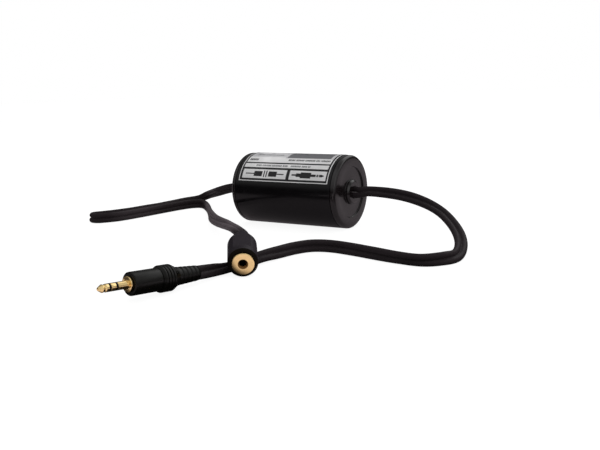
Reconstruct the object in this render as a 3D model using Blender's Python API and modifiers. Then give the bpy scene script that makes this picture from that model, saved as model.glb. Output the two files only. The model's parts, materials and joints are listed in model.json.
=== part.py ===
"""Ground loop isolator.

A black barrel holds two small line transformers on a board. One twin lead ends in a 3.5 mm stereo plug and the
other in a 3.5 mm stereo in-line socket. Metres, +Z up. +X runs along the barrel toward the plug lead, and the
origin is on the table below the middle of the barrel.
"""

import math

import bmesh
import bpy
from mathutils import Matrix, Vector

# Gaps between pieces that meet
CLEARANCE = 0.0003
CONTACT_GAP = 0.00006
PIN_GAP = 0.00015

# Barrel
BARREL_RADIUS = 0.022
BARREL_LENGTH = 0.0737
TUBE_WALL = 0.0016
CAP_FLANGE = 0.003
CAP_EDGE_ROUND = 0.002
CAP_STEP_RADIUS = 0.0152
CAP_STEP_DEPTH = 0.0009
BOSS_RADIUS = 0.0084
BOSS_HEIGHT = 0.0017
BOSS_ROUND = 0.0003
BOSS_ROOF = 0.002
SPIGOT_LENGTH = 0.006
SPIGOT_WALL = 0.0016

# Label, with its edges as angles from the top of the barrel: plus toward -Y
LABEL_GAP = 0.0001
LABEL_THICKNESS = 0.00015
LABEL_RIGHT_MARGIN = 0.0051
LABEL_LEFT_MARGIN = 0.0058
LABEL_FRONT_ANGLE = math.radians(71.6)
LABEL_REAR_ANGLE = math.radians(-52)

# Lead holes and the bush that grips the lead behind them
LEAD_HOLE_RADIUS = 0.0019
LEAD_HOLE_SPACING = 0.0042
LEAD_HOLE_TILT = math.radians(24)
BUSH_RADIUS = 0.0059
BUSH_LENGTH = 0.0055
BUSH_ROUND = 0.0004

# Circuit board and the cradles in the caps
BOARD_THICKNESS = 0.0016
BOARD_DROP = 0.008
BOARD_SIDE_GAP = 0.0013
CRADLE_GRIP = 0.0022
CRADLE_LIP = 0.0012
CRADLE_LENGTH = 0.005

# Transformer: laminations, bobbin, winding and clamp
TRANSFORMER_SPACING = 0.026
CORE_WIDTH = 0.019
CORE_HEIGHT = 0.0159
CORE_STACK = 0.0055
CORE_LEG = 0.0024
CORE_CENTRE_LEG = 0.0048
BOBBIN_WALL = 0.0007
BOBBIN_FLANGE = 0.0009
BOBBIN_LENGTH = 0.0148
BOBBIN_ROUND = 0.0005
WINDING_INSET = 0.0002
WINDING_ROUND = 0.0012
CLAMP_THICKNESS = 0.0006
CLAMP_WIDTH = 0.0042
CLAMP_TAIL = 0.0015
PIN_RADIUS = 0.0003
PIN_PITCH = 0.004
PIN_INSET = 0.0013
PIN_TAIL = 0.0014
PINS_PER_SIDE = 3

# Wires between each lead and the board
WIRE_RADIUS = 0.0005
WIRE_PITCH = 0.0027
WIRE_LANDING = 0.0022
WIRE_SPREAD = 0.8
WIRES = {"signal_wire_1": (1, "white_wire"), "ground_wire": (0, "black_wire"), "signal_wire_2": (-1, "red_wire")}

# Twin lead: the tube stands for two lobes of this diameter side by side
LOBE_DIAMETER = 0.0033
LEAD_STEP = 0.0095

# Plug, measured along its axis from the shoulder: plus toward the tip
PLUG_SHOULDER = (0.0274, -0.1789)
PLUG_AZIMUTH = math.radians(79.9)
PLUG_SLOPE = math.radians(4.3)
PLUG_RADIUS = 0.00175
PLUG_LENGTH = 0.0148
TIP_LENGTH = 0.006
TIP_WAIST_RADIUS = 0.00145
TIP_NOSE_RADIUS = 0.0006
PLUG_INSULATOR_WIDTH = 0.0011
RING_LENGTH = 0.0025
TIP_SHANK_RADIUS = 0.00045
TIP_SHANK_TAIL = 0.00024
PLUG_INNER_WALL = 0.00026
PLUG_FLANGE_RADIUS = 0.0034
PLUG_FLANGE_THICKNESS = 0.0009
PLUG_TAIL = 0.006
HANDLE_RADIUS = 0.00503
HANDLE_LENGTH = 0.0129
HANDLE_ROUND = 0.0006
HANDLE_NOSE_WALL = 0.0016
COLLAR_RADIUS = 0.0059
COLLAR_LENGTH = 0.0074
COLLAR_CHAMFER = 0.0009
COLLAR_CONE = 0.0035
BOOT_LENGTH = 0.0121
BOOT_FRONT_RADIUS = 0.0041
BOOT_REAR_RADIUS = 0.0034
BOOT_RIBS = 5
BOOT_RIB_DEPTH = 0.0005
BOOT_RIB_LAND = 0.00126
BOOT_RIB_SLOPE = 0.0003
GROOVE_DEPTH = 0.0004
GROOVE_WIDTH = 0.0005
GROOVE_PLACES = (0.0032, 0.0048, 0.0063)
TABLE_GAP = 0.00003

# Socket, measured along its axis from the front of its body: minus toward the rear
JACK_FOOT = (0.0463, -0.12545)
JACK_AZIMUTH = math.radians(126.4)
JACK_RISE = math.radians(10.5)
JACK_RADIUS = 0.00705
JACK_STRAIGHT = 0.02
JACK_LENGTH = 0.0318
JACK_REAR_RADIUS = 0.0036
JACK_ROUND = 0.0006
JACK_COLLAR = 0.005
JACK_FLAT_HEIGHT = 0.00566
JACK_FLAT_LENGTH = 0.021
JACK_BUSH_RADIUS = 0.0051
JACK_BUSH_PROUD = 0.0015
JACK_BUSH_BEVEL = 0.0008
JACK_BUSH_FLANGE = 0.0011
JACK_BUSH_BARREL = 0.0037
JACK_BUSH_LENGTH = 0.0065
JACK_BORE_RADIUS = 0.0018
JACK_COUNTERSINK = 0.00028
JACK_WIRE_ROOM = 0.0027
CONTACT_BLOCK_RADIUS = 0.0045
CONTACT_BLOCK_WALL = 0.0012
CONTACT_BLOCK_LENGTH = 0.012
SPRING_THICKNESS = 0.0003
SPRING_WIDTH = 0.0014
SPRING_BOW = 0.0006
SPRING_BEND = 0.45
SPRING_CREST = 0.75
TIP_SPRING_DROP = 0.001
RING_SPRING_DROP = 0.005

# Facets round a full turn
BARREL_SEGMENTS = 48
SMALL_SEGMENTS = 32
BOOT_SEGMENTS = 24
CONTACT_SEGMENTS = 24
HOLE_SEGMENTS = 16
PIN_SEGMENTS = 8

# Places worked out from the sizes above
CAP_FACE = BARREL_LENGTH / 2
TUBE_LENGTH = BARREL_LENGTH - 2 * (CAP_FLANGE + CLEARANCE)
SPIGOT_RADIUS = BARREL_RADIUS - TUBE_WALL - CLEARANCE
SPIGOT_BORE = SPIGOT_RADIUS - SPIGOT_WALL
BOSS_TOP = BOSS_HEIGHT - CAP_STEP_DEPTH
POCKET_RADIUS = BUSH_RADIUS + CLEARANCE
POCKET_CEILING = BOSS_TOP - BOSS_ROOF
BUSH_INNER_FACE = CAP_FACE + POCKET_CEILING - CLEARANCE - BUSH_LENGTH
BOARD_LENGTH = BARREL_LENGTH - 2 * (CAP_FLANGE + CLEARANCE)
BOARD_HEIGHT = BARREL_RADIUS - BOARD_DROP
BOARD_TOP = BOARD_HEIGHT + BOARD_THICKNESS / 2
BOARD_REACH = BOARD_DROP + BOARD_THICKNESS / 2
BOARD_HALF_WIDTH = math.sqrt(SPIGOT_BORE**2 - BOARD_REACH**2) - BOARD_SIDE_GAP
CORE_BOTTOM = BOARD_TOP + CLEARANCE
CORE_WINDOW = (CORE_WIDTH - CORE_CENTRE_LEG - 2 * CORE_LEG) / 2
BOBBIN_BOTTOM = CORE_BOTTOM + CORE_LEG + CLEARANCE
BOBBIN_HEIGHT = CORE_HEIGHT - 2 * (CORE_LEG + CLEARANCE)
BOBBIN_HALF_WIDTH = CORE_WIDTH / 2 - CORE_LEG - CLEARANCE
BARREL_AXIS = Vector((0, 0, BARREL_RADIUS))
BLOCK_TOP = -JACK_BUSH_LENGTH
BLOCK_REAR = BLOCK_TOP - CONTACT_BLOCK_LENGTH
BLOCK_BORE = CONTACT_BLOCK_RADIUS - CONTACT_BLOCK_WALL
BLOCK_FLOOR = BLOCK_REAR + CONTACT_BLOCK_WALL

# Routes of the two leads between their ends, on the table or just above it
PLUG_LEAD_ROUTE = (
    (0.047, 0.0015, 0.0227),
    (0.059, 0.003, 0.0221),
    (0.072, 0.0015, 0.0208),
    (0.085, -0.003, 0.0184),
    (0.0965, -0.01, 0.0153),
    (0.106, -0.019, 0.0116),
    (0.1141, -0.03, 0.0079),
    (0.12, -0.043, 0.0049),
    (0.1224, -0.0556, 0.0029),
    (0.1199, -0.0666, 0.0033),
    (0.1116, -0.0738, 0.0032),
    (0.0995, -0.0733, 0.00325),
    (0.085, -0.0698, 0.0033),
    (0.071, -0.0662, 0.00335),
    (0.058, -0.0644, 0.0034),
    (0.0485, -0.0672, 0.0034),
    (0.0432, -0.0755, 0.00335),
    (0.0408, -0.087, 0.0034),
    (0.0383, -0.099, 0.0033),
    (0.036, -0.11, 0.00225),
    (0.0342, -0.121, 0.0023),
    (0.0334, -0.13, 0.0031),
)
JACK_LEAD_ROUTE = (
    (-0.0489, 0.0019, 0.021),
    (-0.0601, 0.0057, 0.0188),
    (-0.0734, 0.0136, 0.0155),
    (-0.092, 0.0305, 0.011),
    (-0.108, 0.044, 0.007),
    (-0.1175, 0.045, 0.0038),
    (-0.124, 0.035, 0.0029),
    (-0.1235, 0.019, 0.00295),
    (-0.1215, 0.004, 0.00315),
    (-0.1215, -0.01, 0.0034),
    (-0.124, -0.023, 0.00335),
    (-0.129, -0.0335, 0.00325),
    (-0.1338, -0.0408, 0.0032),
    (-0.1349, -0.0455, 0.00325),
    (-0.1322, -0.0492, 0.0033),
    (-0.1277, -0.0499, 0.0033),
    (-0.1236, -0.0466, 0.0033),
    (-0.1183, -0.0376, 0.0033),
    (-0.1152, -0.0218, 0.0033),
    (-0.1129, -0.0042, 0.0033),
    (-0.1109, 0.0106, 0.0033),
    (-0.1089, 0.0191, 0.0033),
    (-0.1064, 0.0245, 0.0033),
    (-0.1024, 0.027, 0.0033),
    (-0.0968, 0.0247, 0.0033),
    (-0.0882, 0.0173, 0.0033),
    (-0.0782, 0.0069, 0.00335),
    (-0.066, -0.007, 0.0038),
    (-0.0515, -0.0235, 0.005),
    (-0.0368, -0.0393, 0.0068),
    (-0.0223, -0.0537, 0.0088),
    (-0.0099, -0.0652, 0.0105),
    (0.0012, -0.0753, 0.0118),
    (0.0122, -0.0851, 0.0129),
)
LEAD_STRAIGHT = 0.004

MATERIALS = {
    "case_plastic": ((0.02, 0.019, 0.02, 1), 0.32, 0.0),
    "cap_plastic": ((0.045, 0.042, 0.043, 1), 0.42, 0.0),
    "label_film": ((0.82, 0.82, 0.83, 1), 0.35, 0.0),
    "bush_rubber": ((0.03, 0.03, 0.03, 1), 0.7, 0.0),
    "board_laminate": ((0.05, 0.16, 0.07, 1), 0.4, 0.0),
    "core_steel": ((0.35, 0.35, 0.36, 1), 0.5, 1.0),
    "bobbin_nylon": ((0.75, 0.74, 0.7, 1), 0.5, 0.0),
    "winding_tape": ((0.7, 0.55, 0.12, 1), 0.4, 0.0),
    "clamp_steel": ((0.6, 0.6, 0.62, 1), 0.35, 1.0),
    "tinned_pin": ((0.75, 0.75, 0.76, 1), 0.3, 1.0),
    "red_wire": ((0.5, 0.02, 0.02, 1), 0.5, 0.0),
    "white_wire": ((0.8, 0.8, 0.78, 1), 0.5, 0.0),
    "black_wire": ((0.02, 0.02, 0.02, 1), 0.5, 0.0),
    "gold_plate": ((0.83, 0.6, 0.28, 1), 0.25, 1.0),
    "contact_plastic": ((0.01, 0.01, 0.01, 1), 0.4, 0.0),
    "plug_plastic": ((0.018, 0.017, 0.018, 1), 0.35, 0.0),
    "jack_plastic": ((0.04, 0.036, 0.045, 1), 0.38, 0.0),
    "spring_bronze": ((0.7, 0.45, 0.25, 1), 0.3, 1.0),
    "lead_jacket": ((0.02, 0.019, 0.02, 1), 0.45, 0.0),
}


def clear_scene():
    for obj in list(bpy.data.objects):
        bpy.data.objects.remove(obj)


def make_collection(name):
    collection = bpy.data.collections.new(name)
    bpy.context.scene.collection.children.link(collection)
    return collection


def make_material(name):
    colour, roughness, metallic = MATERIALS[name]
    material = bpy.data.materials.new(name)
    material.use_nodes = True
    material.diffuse_color = colour
    shader = material.node_tree.nodes["Principled BSDF"]
    shader.inputs["Base Color"].default_value = colour
    shader.inputs["Roughness"].default_value = roughness
    shader.inputs["Metallic"].default_value = metallic
    return material


def material_named(name):
    return bpy.data.materials.get(name) or make_material(name)


def put_in_scene(obj, material, parent=None):
    """Adds a piece to the object's collection with its material and its parent empty."""
    bpy.data.collections["ground_loop_isolator"].objects.link(obj)
    obj.data.materials.append(material_named(material))
    obj.parent = parent
    return obj


def make_cutter(obj, parent=None):
    """Adds a helper solid for a Boolean, which isn't a piece of the object."""
    bpy.data.collections["cutters"].objects.link(obj)
    obj.hide_render = True
    obj.display_type = "WIRE"
    obj.parent = parent
    return obj


def make_empty(name, matrix):
    empty = bpy.data.objects.new(name, None)
    bpy.data.collections["ground_loop_isolator"].objects.link(empty)
    empty.matrix_world = matrix
    return empty


def arc(centre, radius, start, end, count):
    """Points (radius, height) of an arc from start to end, in degrees from the outward direction."""
    angles = [math.radians(start + (end - start) * i / (count - 1)) for i in range(count)]
    return [(centre[0] + radius * math.cos(a), centre[1] + radius * math.sin(a)) for a in angles]


def turned(name, profile, segments, ring=False):
    """A turned piece about its own Z. A ring's profile closes on itself, others start and end on the axis."""
    mesh = bpy.data.meshes.new(name)
    count = len(profile)
    edges = [(i, i + 1) for i in range(count - 1)]
    if ring:
        edges.append((count - 1, 0))
    mesh.from_pydata([(r, 0, z) for r, z in profile], edges, [])
    obj = bpy.data.objects.new(name, mesh)
    screw = obj.modifiers.new("turn", "SCREW")
    screw.axis = "Z"
    screw.angle = math.tau
    screw.steps = segments
    screw.render_steps = segments
    screw.use_merge_vertices = True
    screw.merge_threshold = 0.000001
    screw.use_smooth_shade = False
    return obj


def box(name, size, centre):
    """A box with this size and centre."""
    mesh = bpy.data.meshes.new(name)
    shape = bmesh.new()
    bmesh.ops.create_cube(shape, size=1)
    bmesh.ops.scale(shape, vec=size, verts=shape.verts)
    bmesh.ops.translate(shape, vec=centre, verts=shape.verts)
    shape.to_mesh(mesh)
    shape.free()
    return bpy.data.objects.new(name, mesh)


def rod(name, radius, bottom, top, place, segments):
    """A cylinder along Z between two heights, with its axis at place."""
    mesh = bpy.data.meshes.new(name)
    shape = bmesh.new()
    bmesh.ops.create_cone(
        shape, cap_ends=True, segments=segments, radius1=radius, radius2=radius, depth=top - bottom
    )
    bmesh.ops.translate(shape, vec=(place[0], place[1], (top + bottom) / 2), verts=shape.verts)
    shape.to_mesh(mesh)
    shape.free()
    return bpy.data.objects.new(name, mesh)


def solid_from_curve(curve, name, matrix):
    """The closed mesh of a curve, with its caps welded on, placed by matrix."""
    helper = bpy.data.objects.new(name + "_outline", curve)
    bpy.context.scene.collection.objects.link(helper)
    graph = bpy.context.evaluated_depsgraph_get()
    mesh = bpy.data.meshes.new_from_object(helper.evaluated_get(graph))
    bpy.data.objects.remove(helper)
    shape = bmesh.new()
    shape.from_mesh(mesh)
    bmesh.ops.remove_doubles(shape, verts=shape.verts, dist=0.000001)
    bmesh.ops.recalc_face_normals(shape, faces=shape.faces)
    shape.to_mesh(mesh)
    shape.free()
    mesh.materials.clear()
    obj = bpy.data.objects.new(name, mesh)
    obj.matrix_world = matrix
    return obj


def plate(name, outlines, thickness, matrix):
    """A flat plate: the first outline is its edge and the others are its windows."""
    curve = bpy.data.curves.new(name, "CURVE")
    curve.dimensions = "2D"
    curve.fill_mode = "BOTH"
    curve.extrude = thickness / 2
    for outline in outlines:
        spline = curve.splines.new("POLY")
        spline.points.add(len(outline) - 1)
        for point, (x, y) in zip(spline.points, outline):
            point.co = (x, y, 0, 1)
        spline.use_cyclic_u = True
    return solid_from_curve(curve, name, matrix)


def tube_along(name, points, radius, resolution):
    """A round tube with flat ends through these points."""
    curve = bpy.data.curves.new(name, "CURVE")
    curve.dimensions = "3D"
    curve.bevel_depth = radius
    curve.bevel_resolution = resolution
    curve.use_fill_caps = True
    spline = curve.splines.new("POLY")
    spline.points.add(len(points) - 1)
    for point, place in zip(spline.points, points):
        point.co = (*place, 1)
    return bpy.data.objects.new(name, curve)


def rectangle(half_x, half_y, centre=(0, 0)):
    x, y = centre
    return [(x - half_x, y - half_y), (x + half_x, y - half_y), (x + half_x, y + half_y), (x - half_x, y + half_y)]


def cut(obj, cutter, operation="DIFFERENCE"):
    boolean = obj.modifiers.new(operation.lower(), "BOOLEAN")
    boolean.operation = operation
    boolean.object = cutter
    boolean.solver = "EXACT"


def round_edges(obj, width, segments):
    bevel = obj.modifiers.new("round", "BEVEL")
    bevel.width = width
    bevel.segments = segments
    bevel.limit_method = "ANGLE"
    bevel.angle_limit = math.radians(40)


def smooth_route(route, step):
    """Points about a step apart on a smooth curve through the route's own points."""
    steps_per_span = 16
    places = [Vector(p) for p in route]
    padded = [places[0] * 2 - places[1], *places, places[-1] * 2 - places[-2]]
    dense = []
    for p0, p1, p2, p3 in zip(padded, padded[1:], padded[2:], padded[3:]):
        for i in range(steps_per_span):
            t = i / steps_per_span
            dense.append(
                (
                    2 * p1
                    + (p2 - p0) * t
                    + (2 * p0 - 5 * p1 + 4 * p2 - p3) * t**2
                    + (3 * p1 - p0 - 3 * p2 + p3) * t**3
                )
                / 2
            )
    dense.append(places[-1])
    reach = [0.0]
    for a, b in zip(dense, dense[1:]):
        reach.append(reach[-1] + (b - a).length)
    count = max(2, round(reach[-1] / step))
    points = []
    at = 0
    for i in range(count):
        goal = reach[-1] * i / count
        while reach[at + 1] < goal:
            at += 1
        share = (goal - reach[at]) / (reach[at + 1] - reach[at])
        points.append(dense[at].lerp(dense[at + 1], share))
    points.append(dense[-1])
    return points


def cap_matrix(side):
    """Frame of an end cap: Z points out of the barrel, X points up, and the origin is on its outer face."""
    out = Vector((side, 0, 0))
    up = Vector((0, 0, 1))
    turn = Matrix((up, out.cross(up), out)).transposed().to_4x4()
    return Matrix.Translation(BARREL_AXIS + out * CAP_FACE) @ turn


def axis_matrix(origin, direction):
    """Frame with Z along a direction and X as near to straight up as it can be."""
    along = direction.normalized()
    side = Vector((0, 0, 1)).cross(along).normalized()
    up = along.cross(side)
    return Matrix.Translation(origin) @ Matrix((up, side, along)).transposed().to_4x4()


def plug_matrix():
    """Frame of the plug: Z points at its tip. The rear edge of its collar touches the table."""
    tail = Vector((math.cos(PLUG_AZIMUTH), math.sin(PLUG_AZIMUTH), -math.tan(PLUG_SLOPE))).normalized()
    lowest = (HANDLE_LENGTH + COLLAR_LENGTH) * math.sin(PLUG_SLOPE) + COLLAR_RADIUS * math.cos(PLUG_SLOPE)
    return axis_matrix(Vector((*PLUG_SHOULDER, lowest + TABLE_GAP)), -tail)


def jack_matrix():
    """Frame of the socket: Z points out of its bore. Its front edge touches the table and its rear is raised."""
    level = Vector((math.cos(JACK_AZIMUTH), math.sin(JACK_AZIMUTH), 0))
    rear = level * math.cos(JACK_RISE) + Vector((0, 0, math.sin(JACK_RISE)))
    over = Vector((0, 0, math.cos(JACK_RISE))) - level * math.sin(JACK_RISE)
    return axis_matrix(Vector((*JACK_FOOT, TABLE_GAP)) + over * JACK_RADIUS, -rear)


def lead_hole_places():
    """Centres of a cap's two lead holes in the cap's frame, one above the other with a tilt."""
    half = LEAD_HOLE_SPACING / 2
    offset = (half * math.cos(LEAD_HOLE_TILT), half * math.sin(LEAD_HOLE_TILT))
    return [(offset[0], -offset[1]), (-offset[0], offset[1])]


def barrel_tube():
    inner = BARREL_RADIUS - TUBE_WALL
    half = TUBE_LENGTH / 2
    profile = [(inner, half), (BARREL_RADIUS, half), (BARREL_RADIUS, -half), (inner, -half)]
    tube = put_in_scene(turned("barrel_tube", profile, BARREL_SEGMENTS, ring=True), "case_plastic")
    tube.matrix_world = axis_matrix(BARREL_AXIS, Vector((1, 0, 0)))


def cap_profile():
    edge = (BARREL_RADIUS - CAP_EDGE_ROUND, -CAP_EDGE_ROUND)
    boss = (BOSS_RADIUS - BOSS_ROUND, BOSS_TOP - BOSS_ROUND)
    spigot_end = -CAP_FLANGE - SPIGOT_LENGTH
    return [
        (0, BOSS_TOP),
        *arc(boss, BOSS_ROUND, 90, 0, 3),
        (BOSS_RADIUS, -CAP_STEP_DEPTH),
        (CAP_STEP_RADIUS, -CAP_STEP_DEPTH),
        (CAP_STEP_RADIUS, 0),
        *arc(edge, CAP_EDGE_ROUND, 90, 0, 5),
        (BARREL_RADIUS, -CAP_FLANGE),
        (SPIGOT_RADIUS, -CAP_FLANGE),
        (SPIGOT_RADIUS, spigot_end),
        (SPIGOT_BORE, spigot_end),
        (SPIGOT_BORE, -CAP_FLANGE),
        (POCKET_RADIUS, -CAP_FLANGE),
        (POCKET_RADIUS, POCKET_CEILING),
        (0, POCKET_CEILING),
    ]


def add_cradles(cap, frame, name):
    """Two slotted blocks on the cap's inner face, which hold the edges of the board."""
    overlap = CAP_FLANGE / 2
    depth = CRADLE_LENGTH + overlap
    middle = -CAP_FLANGE + overlap - depth / 2
    half_height = BOARD_THICKNESS / 2 + CLEARANCE + CRADLE_LIP
    outer = math.sqrt((SPIGOT_RADIUS - SPIGOT_WALL / 3) ** 2 - (BOARD_DROP + half_height) ** 2)
    inner = BOARD_HALF_WIDTH - CRADLE_GRIP
    slot_outer = BOARD_HALF_WIDTH + CLEARANCE
    slot_height = BOARD_THICKNESS + 2 * CLEARANCE
    for side, word in ((1, "a"), (-1, "b")):
        block = box(
            f"{name}_cradle_{word}",
            (2 * half_height, outer - inner, depth),
            (-BOARD_DROP, side * (outer + inner) / 2, middle),
        )
        cut(cap, make_cutter(block, frame), "UNION")
        slot_inner = inner - CLEARANCE
        slot = box(
            f"{name}_slot_{word}",
            (slot_height, slot_outer - slot_inner, CRADLE_LENGTH * 2),
            (-BOARD_DROP, side * (slot_outer + slot_inner) / 2, -CAP_FLANGE - CRADLE_LENGTH),
        )
        cut(cap, make_cutter(slot, frame))


def end_cap(word, frame):
    """One moulded cap with its lead holes and board cradles, and the rubber bush behind its boss."""
    name = f"{word}_end_cap"
    cap = put_in_scene(turned(name, cap_profile(), BARREL_SEGMENTS), "cap_plastic", frame)
    for number, place in enumerate(lead_hole_places()):
        hole = rod(f"{name}_hole_{number}", LEAD_HOLE_RADIUS, -CAP_FLANGE, BOSS_TOP * 2, place, HOLE_SEGMENTS)
        cut(cap, make_cutter(hole, frame))
    add_cradles(cap, frame, name)


def cable_bush(word, frame):
    name = f"{word}_cable_bush"
    top = POCKET_CEILING - CLEARANCE
    profile = [
        (0, top),
        (BUSH_RADIUS, top),
        *arc((BUSH_RADIUS - BUSH_ROUND, top - BUSH_LENGTH + BUSH_ROUND), BUSH_ROUND, 0, -90, 3),
        (0, top - BUSH_LENGTH),
    ]
    bush = put_in_scene(turned(name, profile, SMALL_SEGMENTS), "bush_rubber", frame)
    radius = LOBE_DIAMETER / 2 + PIN_GAP
    for number, place in enumerate(lead_hole_places()):
        hole = rod(f"{name}_hole_{number}", radius, top - BUSH_LENGTH * 2, top + BOSS_ROOF, place, HOLE_SEGMENTS)
        cut(bush, make_cutter(hole, frame))


def label():
    """A thin film wrapped over the top of the tube."""
    mesh = bpy.data.meshes.new("label")
    radius = BARREL_RADIUS + LABEL_GAP
    ends = (-CAP_FACE + LABEL_LEFT_MARGIN, CAP_FACE - LABEL_RIGHT_MARGIN)
    mesh.from_pydata([(radius, 0, ends[1]), (radius, 0, ends[0])], [(0, 1)], [])
    film = put_in_scene(bpy.data.objects.new("label", mesh), "label_film")
    span = LABEL_FRONT_ANGLE - LABEL_REAR_ANGLE
    screw = film.modifiers.new("wrap", "SCREW")
    screw.axis = "Z"
    screw.angle = span
    screw.steps = round(BARREL_SEGMENTS * span / math.tau)
    screw.render_steps = screw.steps
    screw.use_merge_vertices = False
    screw.use_smooth_shade = False
    film.matrix_world = axis_matrix(BARREL_AXIS, Vector((1, 0, 0))) @ Matrix.Rotation(-LABEL_FRONT_ANGLE, 4, "Z")
    solidify = film.modifiers.new("thickness", "SOLIDIFY")
    solidify.thickness = LABEL_THICKNESS
    solidify.offset = 1


def pin_places():
    """Centres of a transformer's pins about its middle, in two rows."""
    row = BOBBIN_LENGTH / 2 - PIN_INSET
    shift = (PINS_PER_SIDE - 1) / 2
    return [(side * row, (i - shift) * PIN_PITCH) for side in (-1, 1) for i in range(PINS_PER_SIDE)]


def circuit_board(middles):
    """The board, with holes for the pins and slots for the clamps of the transformers at these middles."""
    size = (BOARD_LENGTH, 2 * BOARD_HALF_WIDTH, BOARD_THICKNESS)
    board = put_in_scene(box("circuit_board", size, (0, 0, BOARD_HEIGHT)), "board_laminate")
    bottom = BOARD_HEIGHT - BOARD_THICKNESS
    clamp_place = CORE_WIDTH / 2 + CLEARANCE + CLAMP_THICKNESS / 2
    for word, middle in middles.items():
        for number, (x, y) in enumerate(pin_places()):
            hole = rod(
                f"{word}_board_hole_{number}",
                PIN_RADIUS + PIN_GAP,
                bottom,
                BOARD_HEIGHT + BOARD_THICKNESS,
                (middle + x, y),
                PIN_SEGMENTS,
            )
            cut(board, make_cutter(hole))
        for side in (-1, 1):
            slot = box(
                f"{word}_board_slot_{side}",
                (CLAMP_WIDTH + 2 * CLEARANCE, CLAMP_THICKNESS + 2 * CLEARANCE, 2 * BOARD_THICKNESS),
                (middle, side * clamp_place, BOARD_HEIGHT),
            )
            cut(board, make_cutter(slot))


def upright_matrix(middle, height):
    """Frame of a plate that stands across the barrel: its x is world Y, its y is world Z."""
    turn = Matrix(((0, 0, 1), (1, 0, 0), (0, 1, 0))).to_4x4()
    return Matrix.Translation((middle, 0, height)) @ turn


def transformer_core(word, middle):
    """The stack of E and I laminations, with a window on each side of its centre leg."""
    window_half = (CORE_HEIGHT - 2 * CORE_LEG) / 2
    window_place = (CORE_CENTRE_LEG + CORE_WINDOW) / 2
    outlines = [rectangle(CORE_WIDTH / 2, CORE_HEIGHT / 2)]
    for side in (-1, 1):
        outlines.append(rectangle(CORE_WINDOW / 2, window_half, (side * window_place, 0)))
    matrix = upright_matrix(middle, CORE_BOTTOM + CORE_HEIGHT / 2)
    put_in_scene(plate(f"{word}_transformer_core", outlines, CORE_STACK, matrix), "core_steel")


def bobbin_half_barrel():
    """Half the bobbin barrel's outer size along the barrel of the isolator and across it."""
    return (
        CORE_STACK / 2 + CLEARANCE + BOBBIN_WALL,
        CORE_CENTRE_LEG / 2 + CLEARANCE + BOBBIN_WALL,
    )


def transformer_bobbin(word, middle):
    """A spool round the centre leg: two flanges on a square barrel, bored for the leg and the pins."""
    name = f"{word}_transformer_bobbin"
    half_x, half_y = bobbin_half_barrel()
    centre = BOBBIN_BOTTOM + BOBBIN_HEIGHT / 2
    bobbin = box(name, (2 * half_x, 2 * half_y, BOBBIN_HEIGHT), (middle, 0, centre))
    put_in_scene(bobbin, "bobbin_nylon")
    flange_size = (BOBBIN_LENGTH, 2 * BOBBIN_HALF_WIDTH, BOBBIN_FLANGE)
    for part, height in (
        ("foot", BOBBIN_BOTTOM + BOBBIN_FLANGE / 2),
        ("head", BOBBIN_BOTTOM + BOBBIN_HEIGHT - BOBBIN_FLANGE / 2),
    ):
        flange = box(f"{name}_{part}", flange_size, (middle, 0, height))
        round_edges(flange, BOBBIN_ROUND, 1)
        cut(bobbin, make_cutter(flange), "UNION")
    leg_size = (CORE_STACK + 2 * CLEARANCE, CORE_CENTRE_LEG + 2 * CLEARANCE, CORE_HEIGHT)
    cut(bobbin, make_cutter(box(f"{name}_bore", leg_size, (middle, 0, centre))))
    for number, (x, y) in enumerate(pin_places()):
        bottom = BOBBIN_BOTTOM - BOBBIN_FLANGE
        hole = rod(
            f"{name}_hole_{number}",
            PIN_RADIUS + PIN_GAP,
            bottom,
            bottom + 3 * BOBBIN_FLANGE,
            (middle + x, y),
            PIN_SEGMENTS,
        )
        cut(bobbin, make_cutter(hole))


def transformer_winding(word, middle):
    """The taped coil round the bobbin's barrel, between its flanges."""
    name = f"{word}_transformer_winding"
    half_x, half_y = bobbin_half_barrel()
    height = BOBBIN_HEIGHT - 2 * (BOBBIN_FLANGE + CLEARANCE)
    reach = BOBBIN_HALF_WIDTH - WINDING_INSET - half_y
    centre = (middle, 0, BOBBIN_BOTTOM + BOBBIN_HEIGHT / 2)
    coil = box(name, (2 * (half_x + reach), 2 * (half_y + reach), height), centre)
    put_in_scene(coil, "winding_tape")
    round_edges(coil, WINDING_ROUND, 2)
    bore_size = (2 * (half_x + CLEARANCE), 2 * (half_y + CLEARANCE), 2 * height)
    cut(coil, make_cutter(box(f"{name}_bore", bore_size, centre)))


def transformer_clamp(word, middle):
    """A bent steel strap over the core, whose legs pass through the board."""
    inner = CORE_WIDTH / 2 + CLEARANCE
    outer = inner + CLAMP_THICKNESS
    top = CORE_BOTTOM + CORE_HEIGHT + CLEARANCE
    foot = BOARD_HEIGHT - BOARD_THICKNESS / 2 - CLAMP_TAIL
    roof = top + CLAMP_THICKNESS
    outline = [
        (-outer, foot),
        (-inner, foot),
        (-inner, top),
        (inner, top),
        (inner, foot),
        (outer, foot),
        (outer, roof - CLAMP_THICKNESS),
        (outer - CLAMP_THICKNESS, roof),
        (CLAMP_THICKNESS - outer, roof),
        (-outer, roof - CLAMP_THICKNESS),
    ]
    matrix = upright_matrix(middle, 0)
    put_in_scene(plate(f"{word}_transformer_clamp", [outline], CLAMP_WIDTH, matrix), "clamp_steel")


def transformer_pins(word, middle):
    top = BOBBIN_BOTTOM + BOBBIN_FLANGE
    bottom = BOARD_HEIGHT - BOARD_THICKNESS / 2 - PIN_TAIL
    for number, (x, y) in enumerate(pin_places(), start=1):
        name = f"{word}_transformer_pin_{number}"
        put_in_scene(rod(name, PIN_RADIUS, bottom, top, (middle + x, y), PIN_SEGMENTS), "tinned_pin")


def transformer(word, middle):
    transformer_core(word, middle)
    transformer_bobbin(word, middle)
    transformer_winding(word, middle)
    transformer_clamp(word, middle)
    transformer_pins(word, middle)


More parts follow.
